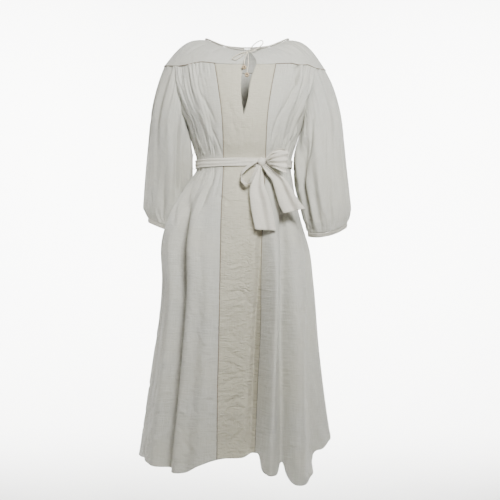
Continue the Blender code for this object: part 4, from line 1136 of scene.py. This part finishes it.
def seam_down(cloth_angle, top, count):
    """A seam's route from a height down to the hem, on the body's surface."""
    hem = float(through(HEM_HEIGHTS, 1, cloth_angle))
    heights = np.linspace(top, hem + 0.001, count)
    route = body_point(np.full(count, cloth_angle), heights)
    return route + unit(route * np.array([1.0, 1.0, 0.0])) * SEAM_PROUD


def build_seams(finish, piping_painted_seam_shade):
    """The piped yoke seam and panel seams, whose dark colour is partly the pipes' own and partly painted seam
    shade, and the plain seams of armholes, sides and shoulders.
    """
    for name, first, last, count in (
        ("seam_yoke_left", -PANEL_ANGLE, -89.5, 120),
        ("seam_yoke_right", PANEL_ANGLE, 89.5, 120),
        ("seam_yoke_back", 90.5, 269.5, 240),
    ):
        angles = np.linspace(first, last, count)
        heights = yoke_edge_height(angles)
        ring, out = body_ring(worn_angle(wrapped(angles), heights), heights)
        path = np.concatenate([ring + out * PIPING_PROUD, heights[:, None] - 0.5 * YOKE_GAP], axis=-1)
        seam_roll(name, path, PIPING_RADIUS, piping_painted_seam_shade)
    for label, side in (("left", -1.0), ("right", 1.0)):
        panel_top = float(yoke_edge_height(PANEL_ANGLE * side)) - YOKE_GAP
        long_seam = seam_down(side * PANEL_ANGLE, panel_top, 420)
        side_seam = seam_down(side * 90.0, UNDERARM_HEIGHT, 300)
        seam_roll("seam_panel_" + label, long_seam, PANEL_PIPING_RADIUS, piping_painted_seam_shade)
        seam_roll("seam_side_" + label, side_seam, PLAIN_SEAM_RADIUS, finish)
        around = np.linspace(YOKE_ARC_HALF, 360.0 - YOKE_ARC_HALF, 240)
        armhole = armhole_ring(around, side)
        armhole[:, 0] -= side * 0.5 * APART_AT_YOKE
        armhole[:, 2] += 0.5 * SLEEVE_EDGE_DROP
        seam_roll("seam_armhole_" + label, armhole, ARMHOLE_SEAM_RADIUS, finish)
        shoulder = yoke_point(np.full(40, side * 90.0), even(40))
        seam_roll("seam_shoulder_" + label, shoulder, PLAIN_SEAM_RADIUS, finish)


# The sash.


def build_belt_band(finish):
    """The sash round the waist: two ribbed layers, of which the upper one's edge slants down to the knot."""
    angles = wrapped(np.arange(BELT_COLUMNS) * 360.0 / BELT_COLUMNS)
    shares = np.linspace(-1.0, 1.0, 25)[:, None]
    grid_angles, grid_shares = np.broadcast_arrays(angles, shares)
    middle = 0.5 * (BELT_TOP + BELT_BOTTOM)
    heights = middle - 0.5 * (BELT_TOP - BELT_BOTTOM) * grid_shares
    ring, out = body_ring(grid_angles, heights)
    turn = grid_angles * DEGREE
    over = smooth_step((through(SASH_EDGE, 1, grid_angles) - grid_shares) / 0.20)
    ribs = np.cos(7.0 * grid_shares + 1.2 * np.sin(2.0 * turn) + 0.5 * np.sin(5.0 * turn + 1.0))
    off = BELT_OFF_BODY + BELT_STEP * over + BELT_RIB * ribs - BELT_CROWN * grid_shares ** 2
    points = np.concatenate([ring + out * off[..., None], heights[..., None]], axis=-1)
    coords = round_coords(BELT_COLUMNS, shares, BELT_LENGTH, 0.5 * (BELT_TOP - BELT_BOTTOM))
    made = cloth(
        "belt_band_wrap", points, coords, finish, "sash_linen", ["belt_band"],
        wall=BELT_WALL, round_columns=True,
    )


def strip_surface(table, rows, columns, hollow=0.0, ripple=0.0, ripples=2.0, steady=0.0):
    """A strip of cloth along a table's middles; turn and lean say which way its width runs.

    Ripples run lengthwise and are deepest where the strip is drawn narrow: ripple cos(pi ripples a + 3 s),
    with a from -1 to 1 across and s from 0 to 1 along. Steady is the share of their depth that stays where
    it is widest. Hollow dishes the strip by hollow cos(1.5 pi a).
    """
    at = even(rows + 1)
    keyed = np.column_stack([even(len(table)), np.array(table)])
    x, y, z, half, turn, lean = (through(keyed, column, at) for column in range(1, 7))
    across = np.linspace(-1.0, 1.0, columns + 1)
    width_x = np.cos(turn * DEGREE) * np.cos(lean * DEGREE)
    width_y = np.sin(turn * DEGREE)
    width_z = np.cos(turn * DEGREE) * np.sin(lean * DEGREE)
    direction = stacked(width_x, -width_y, width_z)
    middle = stacked(x, y, z)
    points = middle[:, None] + direction[:, None] * (half[:, None] * across)[..., None]
    points[..., 1] += hollow * np.cos(1.5 * np.pi * across) * half[:, None] / half.max()
    drawn = np.maximum(1.0 - half / half.max(), steady)[:, None]
    depth = ripple * drawn * np.cos(np.pi * ripples * across + 3.0 * at[:, None])
    points += outward(points) * (depth * np.minimum(1.0, half[:, None] / 0.006))[..., None]
    run = np.concatenate([[0.0], np.cumsum(np.linalg.norm(np.diff(middle, axis=0), axis=1))])
    coords = stacked(across * 0.03, run[:, None])
    return points, coords


def build_belt_bow(finish):
    """The sash's knot with its two loops and two tails."""
    knot_mesh = knot_surface("belt_knot_wrap", BELT_KNOT, BELT_KNOT_SIZE, folds=5, depth=0.10)
    piece("belt_knot_wrap", knot_mesh, finish, "sash_linen", ["belt_knot"])
    for name, table, rows, columns, hollow, ripple, ripples, steady, flat in (
        ("belt_tail_left", TAIL_LEFT, 60, 32, TAIL_HOLLOW, 0.0024, 2.6, 0.25, (0.058, 0.19)),
        ("belt_tail_right", TAIL_RIGHT, 60, 32, TAIL_HOLLOW, 0.0024, 2.6, 0.25, (0.056, 0.14)),
        ("belt_loop_left", LOOP_LEFT, 90, 16, 0.0, 0.0006, 2.0, 0.50, (0.020, 0.15)),
        ("belt_loop_right", LOOP_RIGHT, 90, 44, 0.0, 0.0032, 3.4, 0.85, (0.058, 0.115)),
    ):
        points, coords = strip_surface(table, rows, columns, hollow, ripple, ripples, steady)
        made = cloth(name + "_cloth", points, coords, finish, "sash_linen", [name])


def knot_surface(name, middle, size, folds, depth):
    """A rounded lump wound with folds: r = 1 - depth |sin(folds b / 2 + 1.3 sin(a + 0.6))|.

    The angle a runs round the lump and b down it.
    """
    around, down = 48, 28
    turn = round_turn(around)
    fall = np.linspace(0.02, math.pi - 0.02, down)[:, None]
    radius = 1.0 - depth * np.abs(np.sin(0.5 * folds * fall + 1.3 * np.sin(turn + 0.6)))
    level = radius * np.sin(fall)
    shape = stacked(level * np.cos(turn), level * np.sin(turn), radius * np.cos(fall))
    points = np.array(middle) + shape * np.array(size)
    faces, corner_rows, corner_columns = grid_faces(down, around, True)
    coords = stacked(corner_columns * 0.0015, corner_rows * 0.0013).reshape(-1, 2)
    return make_mesh(name, points.reshape(-1, 3), faces, coords, end_faces(down, around))


# Neck tie, beads, thread loops and bindings.


def build_tie(cord_finish, bead_finish):
    """The neck tie's knot, two loops and two beaded ends, laid up from three strands."""
    knot_mesh = knot_surface("tie_knot_wrap", TIE_KNOT, TIE_KNOT_SIZE, folds=6, depth=0.14)
    piece("tie_knot_wrap", knot_mesh, cord_finish, "cord_cotton", ["tie_knot"])
    for name, route in (("bead_left", TIE_END_LEFT), ("bead_right", TIE_END_RIGHT)):
        middle = np.array(route[-1]) - np.array([0.0, 0.0, 0.9 * BEAD_RADIUS + 0.0008])
        piece(name + "_turned", bead_surface(name, middle), bead_finish, "bead_wood", [name])
    for name, route, count, aside, far_end in (
        ("tie_loop_left", TIE_LOOP_LEFT, 60, (0.0, 1.0, 0.0), "object"),
        ("tie_loop_right", TIE_LOOP_RIGHT, 70, (0.0, 1.0, 0.0), "object"),
        ("tie_end_left", TIE_END_LEFT, 40, (1.0, 0.0, 0.0), "fitting"),
        ("tie_end_right", TIE_END_RIGHT, 50, (1.0, 0.0, 0.0), "fitting"),
    ):
        path = smooth_route(route, count)
        mesh, run = tube_mesh(name, path, TIE_RADIUS, np.array(aside), 12, 3, 420.0, 0.16)
        made = piece(name + "_cord", mesh, cord_finish, "cord_cotton", [name])


def bead_surface(name, middle):
    """A flattened bead turned about the line to the front, with a hole from each face to its core.

    The outside runs r = hole + (R - hole) |sin b|, out = 0.8 R cos b; map coordinates are 1 inside the holes.
    """
    around, hole, core = 32, 0.30 * BEAD_RADIUS, 0.12 * BEAD_RADIUS
    bend = np.linspace(0.06, math.pi - 0.06, 23)
    wide, deep = BEAD_RADIUS - hole, 0.8 * BEAD_RADIUS
    outside = stacked(hole + wide * np.sin(bend), deep * np.cos(bend))
    into = np.array([[0.02 * hole, core], [0.95 * hole, core], [hole, 0.70 * BEAD_RADIUS]])
    profile = np.concatenate([into, outside, into[::-1] * np.array([1.0, -1.0])])
    turn = round_turn(around)
    ring = stacked(np.cos(turn), np.zeros(around), np.sin(turn))
    shape = ring * profile[:, :1, None] - np.array([0.0, 1.0, 0.0]) * profile[:, 1:, None]
    faces, corner_rows, corner_columns = grid_faces(len(profile), around, True)
    # Faces inside the holes get map coordinate 1, which the wood's finish paints with shade.
    inside = (corner_rows < 3) | (corner_rows > len(profile) - 4)
    coords = stacked(inside * 1.0, corner_rows * 0.0008).reshape(-1, 2)
    ends = end_faces(len(profile), around)
    return make_mesh(name + "_turned", (middle + shape).reshape(-1, 3), faces, coords, ends)


def build_carriers(finish):
    """Thread loops at the side seams, which the sash runs through."""
    for name, side, slack in (("belt_carrier_left", -1.0, 0.004), ("belt_carrier_right", 1.0, 0.001)):
        near = HALF_WALL + CARRIER_RADIUS + PIECE_GAP + CARRIER_CLEAR
        over_sash = BELT_OFF_BODY + BELT_LAYERS + slack - CARRIER_CLEAR
        heights = np.array(CARRIER_ROUTE_HEIGHTS)
        seam = body_point(np.full(5, side * CARRIER_ANGLE), heights)
        seam[:, 0] += side * (near + over_sash * np.array(CARRIER_ROUTE_SHARES))
        path = smooth_route(seam, 30)
        mesh, run = tube_mesh(name, path, CARRIER_RADIUS, np.array((0.0, 1.0, 0.0)), 8, 2, 700.0, 0.18)
        made = piece(name + "_thread", mesh, finish, "cord_cotton", [name])


def build_neck_binding(finish):
    """A narrow bound edge above the neckline, from one side of the slit to the other."""
    points = neck_ring(np.linspace(4.0, 356.0, 220))
    points[:, 2] += BINDING_RADIUS + HALF_WALL + BINDING_LIFT
    mesh, _ = tube_mesh("neck_edge", points, BINDING_RADIUS, np.array((0.0, 0.0, 1.0)), 12)
    piece("neck_edge", mesh, finish, "binding_linen", ["neck_binding"])


# Finishes.


def begin_finish(name):
    """A new material, its nodes and its main shader."""
    made = bpy.data.materials.new(name)
    made.use_nodes = True
    return made, made.node_tree, made.node_tree.nodes["Principled BSDF"]


def noise(tree, place, scale, detail=2.0, **more):
    """A noise pattern's grey."""
    inputs = {"Vector": place, "Scale": scale, "Detail": detail, **more}
    return add(tree, "ShaderNodeTexNoise", inputs).outputs["Fac"]


def bands(tree, place, scale, distortion, detail, direction):
    """A pattern of straight bands across one direction."""
    inputs = {"Vector": place, "Scale": scale, "Distortion": distortion, "Detail": detail}
    return add(tree, "ShaderNodeTexWave", inputs, bands_direction=direction).outputs["Fac"]


def laid(tree, place, scale, turn=0.0):
    """A place stretched by a scale and turned in the cloth's plane."""
    inputs = {"Vector": place, "Rotation": (0.0, 0.0, turn), "Scale": scale}
    return add(tree, "ShaderNodeMapping", inputs).outputs["Vector"]


def ranged(tree, value, from_min=0.0, from_max=1.0, to_min=0.0, to_max=1.0):
    """A value carried from one range to another, and held at its ends."""
    inputs = {"Value": value, "From Min": from_min, "From Max": from_max, "To Min": to_min, "To Max": to_max}
    return add(tree, "ShaderNodeMapRange", inputs).outputs["Result"]


def sums(tree, operation, first, second):
    """Two greys added or multiplied."""
    return add(tree, "ShaderNodeMath", {0: first, 1: second}, operation=operation).outputs["Value"]


def blend(tree, share, first, second):
    """A colour between two others."""
    inputs = {"Factor": share, "A": first, "B": second}
    return add(tree, "ShaderNodeMix", inputs, data_type="RGBA").outputs["Result"]


def bump(tree, height, strength, distance, under=None):
    """A normal raised by a grey height, on top of another normal."""
    inputs = {"Height": height, "Strength": strength, "Distance": distance}
    if under:
        inputs["Normal"] = under
    return add(tree, "ShaderNodeBump", inputs).outputs["Normal"]


def woven_linen(name, shade, darker, warmer, crushed=0.0024):
    """Plain-weave linen: matt, a little fuzzy, with slubs where a thread is thicker.

    Real threads lie 0.6 mm apart; they are drawn 1.4 mm apart so that they begin to show. Slubs darken
    the cloth in short streaks along both threads, clouds warm it, and the lower skirt is the most crushed.
    """
    made, tree, shader = begin_finish(name)
    place = add(tree, "ShaderNodeUVMap", uv_map="cloth").outputs["UV"]
    spot = add(tree, "ShaderNodeTexCoord").outputs["Object"]
    weft = noise(tree, laid(tree, place, (30.0, 620.0, 1.0)), 1.0)
    warp = noise(tree, laid(tree, place, (620.0, 22.0, 1.0)), 1.0)
    slubs = sums(tree, "ADD", weft, warp)
    threads = [bands(tree, place, 224.0, 0.6, 1.0, direction) for direction in ("X", "Y")]
    weave = sums(tree, "MULTIPLY", *threads)
    streaked = blend(tree, ranged(tree, slubs, 0.7, 1.3), linear(darker), linear(shade))
    clouds = ranged(tree, noise(tree, spot, 9.0, 3.0), 0.35, 0.7, to_max=0.6)
    tree.links.new(blend(tree, clouds, streaked, linear(warmer)), shader.inputs["Base Color"])
    crumple = noise(tree, spot, 30.0, 5.0, Roughness=0.6, Distortion=0.8)
    slanted = laid(tree, place, (22.0, 84.0, 1.0), 0.45)
    creased = noise(tree, slanted, 1.0, 3.0, Roughness=0.55, Distortion=1.6)
    height = add(tree, "ShaderNodeSeparateXYZ", {"Vector": spot}).outputs["Z"]
    wrinkles = sums(tree, "MULTIPLY", creased, ranged(tree, height, -0.36, -0.64, to_min=0.2))
    broad = bump(tree, wrinkles, 1.0, crushed)
    soft = bump(tree, crumple, 0.8, 0.0040, broad)
    slubby = bump(tree, slubs, 0.35, 0.0005, soft)
    tree.links.new(bump(tree, weave, 0.3, 0.0004, slubby), shader.inputs["Normal"])
    tree.links.new(ranged(tree, weave, to_min=0.95, to_max=0.82), shader.inputs["Roughness"])
    shader.inputs["IOR"].default_value = 1.53
    shader.inputs["Specular IOR Level"].default_value = 0.25
    shader.inputs["Sheen Weight"].default_value = 0.18
    shader.inputs["Sheen Roughness"].default_value = 0.45
    return made


def laid_cotton(name, shade, darker):
    """Twisted cotton cord: dull, with strands that catch light at their crests."""
    made, tree, shader = begin_finish(name)
    fibers = noise(tree, add(tree, "ShaderNodeTexCoord").outputs["Object"], 900.0, 3.0)
    tree.links.new(blend(tree, fibers, linear(darker), linear(shade)), shader.inputs["Base Color"])
    tree.links.new(bump(tree, fibers, 0.4, 0.0004), shader.inputs["Normal"])
    tree.links.new(ranged(tree, fibers, to_min=0.95, to_max=0.8), shader.inputs["Roughness"])
    shader.inputs["IOR"].default_value = 1.53
    shader.inputs["Sheen Weight"].default_value = 0.2
    return made


def turned_wood(name, shade, darker, hole):
    """A turned bead of pale wood: faint rings and a dull waxed face, with painted shade in its hole."""
    made, tree, shader = begin_finish(name)
    grain = bands(tree, add(tree, "ShaderNodeTexCoord").outputs["Object"], 160.0, 4.0, 3.0, "Z")
    mapped = add(tree, "ShaderNodeUVMap", uv_map="cloth").outputs["UV"]
    inside = add(tree, "ShaderNodeSeparateXYZ", {"Vector": mapped}).outputs["X"]
    turned = blend(tree, grain, linear(darker), linear(shade))
    # The hole colour is painted shade inside the bead's holes.
    tree.links.new(blend(tree, inside, turned, linear(hole)), shader.inputs["Base Color"])
    tree.links.new(bump(tree, grain, 0.2, 0.0002), shader.inputs["Normal"])
    shader.inputs["Roughness"].default_value = 0.48
    return made


# Stage, lights and camera.


def build_stage():
    """A plain pale floor that sweeps up behind the dress: flat, a quarter round, then upright."""
    half_width, flat_to, level, bend_radius, wall_top = 6.0, 2.0, -1.46, 1.5, 4.0
    turn = np.linspace(0.0, 0.5 * math.pi, 20)
    bend = np.column_stack([flat_to + bend_radius * np.sin(turn), level + bend_radius * (1.0 - np.cos(turn))])
    profile = np.concatenate([[[-half_width, level]], bend, [[flat_to + bend_radius, wall_top]]])
    across = np.linspace(-half_width, half_width, 3)
    points = stacked(across[None, :], profile[:, :1], profile[:, 1:])
    faces, _, _ = grid_faces(*points.shape[:2])
    made = bpy.data.objects.new("floor", make_mesh("floor", points.reshape(-1, 3), faces[:, ::-1]))
    bpy.context.scene.collection.objects.link(made)
    paper, tree, shader = begin_finish("matt_backdrop_paper")
    flecks = noise(tree, add(tree, "ShaderNodeTexCoord").outputs["Object"], 3.0)
    tree.links.new(blend(tree, flecks, linear("#f3f3f1"), linear("#f6f6f4")), shader.inputs["Base Color"])
    shader.inputs["Roughness"].default_value = 0.95
    made.data.materials.append(paper)


def area_light(name, place, aim, size, power, spread=math.pi):
    """A soft square light at a place, turned towards its aim; a smaller spread fades it away from there."""
    lamp = bpy.data.lights.new(name, "AREA")
    lamp.size = size
    lamp.energy = power
    lamp.spread = spread
    made = bpy.data.objects.new(name, lamp)
    made.location = place
    made.rotation_euler = (Vector(aim) - Vector(place)).to_track_quat("-Z", "Y").to_euler()
    bpy.context.scene.collection.objects.link(made)


def build_camera():
    """The camera stands off the dress, level with its middle: a frame is 500 pixels of 2.85 mm there."""
    away, frame_width = 3.0, 500 * 0.00285
    view = bpy.data.cameras.new("view")
    view.sensor_width = 36.0
    view.lens = view.sensor_width * away / frame_width
    made = bpy.data.objects.new("view", view)
    made.location = (0.01425, -away, -0.596)
    made.rotation_euler = (0.5 * math.pi, 0.0, 0.0)
    bpy.context.scene.collection.objects.link(made)
    bpy.context.scene.camera = made


def build_light():
    """Soft light from above and right of the camera, which weakens down the skirt, a wide fill from the
    left, and two lamps behind the dress on the backdrop."""
    area_light("key", (0.6, -2.3, 0.85), (0.0, 0.0, -0.12), size=0.7, power=21.0, spread=1.2)
    area_light("fill", (-1.8, -2.0, 0.6), (0.0, 0.0, -0.3), size=1.6, power=10.0)
    for label, side in (("left", -1.0), ("right", 1.0)):
        area_light("backdrop_" + label, (2.6 * side, 1.2, 0.8), (-0.3 * side, 3.5, -0.3), 1.6, 410.0, 2.1)
    world = bpy.data.worlds.new("white_surround")
    world.use_nodes = True
    surround = world.node_tree.nodes["Background"]
    surround.inputs["Color"].default_value = linear("#fff6ea")
    surround.inputs["Strength"].default_value = 0.15
    bpy.context.scene.world = world


def main():
    """Camera and cords first, then the cloth from the yoke down, the seams, the sash, stage and light."""
    build_camera()
    linen = woven_linen("undyed_plain_weave_linen", "#c7c7bf", "#b3b3aa", "#c2c0b2")
    panel = woven_linen("undyed_linen_warm_side", "#c6c2b1", "#b2ae9b", "#c1bda8", 0.0075)
    sash = woven_linen("sash_linen_plain_weave", "#dad7cc", "#c8c4b7", "#d5d1c4")
    binding = woven_linen("linen_bias_binding", "#bdbab0", "#aba79b", "#b7b3a7")
    # The dark seam colour is partly the pipes' own and partly painted shade along the yoke and panel seams.
    piping_painted_seam_shade = woven_linen("dark_linen_piped_seams_painted_shade", "#8a8273", "#766e60", "#827a6b")
    cord = laid_cotton("twisted_cotton_cord", "#e2dccb", "#c4bca6")
    # The third colour is painted shade inside the bead's holes.
    bead = turned_wood("waxed_turned_wood_painted_hole_shade", "#c9b799", "#a48d6c", "#3a2c20")
    build_tie(cord, bead)
    build_carriers(cord)
    gathered = np.linspace(PANEL_ANGLE, ARMHOLE_ANGLE, 60)
    over_arm = np.linspace(ARMHOLE_ANGLE, 90.0, 40)
    front = np.concatenate([np.linspace(0.0, PANEL_ANGLE, 34), gathered[1:], over_arm[1:]])
    back = np.linspace(90.0, 270.0, 220)
    front[-1] -= HALF_SEAM_ANGLE
    back[0] += HALF_SEAM_ANGLE
    back[-1] -= HALF_SEAM_ANGLE
    build_yoke("yoke_front_left", -front, linen, slit_side=-1.0, flip=True)
    build_yoke("yoke_front_right", front, linen, slit_side=1.0)
    build_yoke("yoke_back", back, linen)
    build_center_panel(panel)
    build_side_front("side_front_left", "front_side_left", -1.0, linen)
    build_side_front("side_front_right", "front_side_right", 1.0, linen)
    build_back(linen)
    build_sleeve("sleeve_left", -1.0, linen)
    build_sleeve("sleeve_right", 1.0, linen)
    build_cuff("cuff_left", -1.0, binding)
    build_cuff("cuff_right", 1.0, binding)
    build_neck_binding(binding)
    build_seams(linen, piping_painted_seam_shade)
    build_belt_band(sash)
    build_belt_bow(sash)
    build_stage()
    build_light()


main()
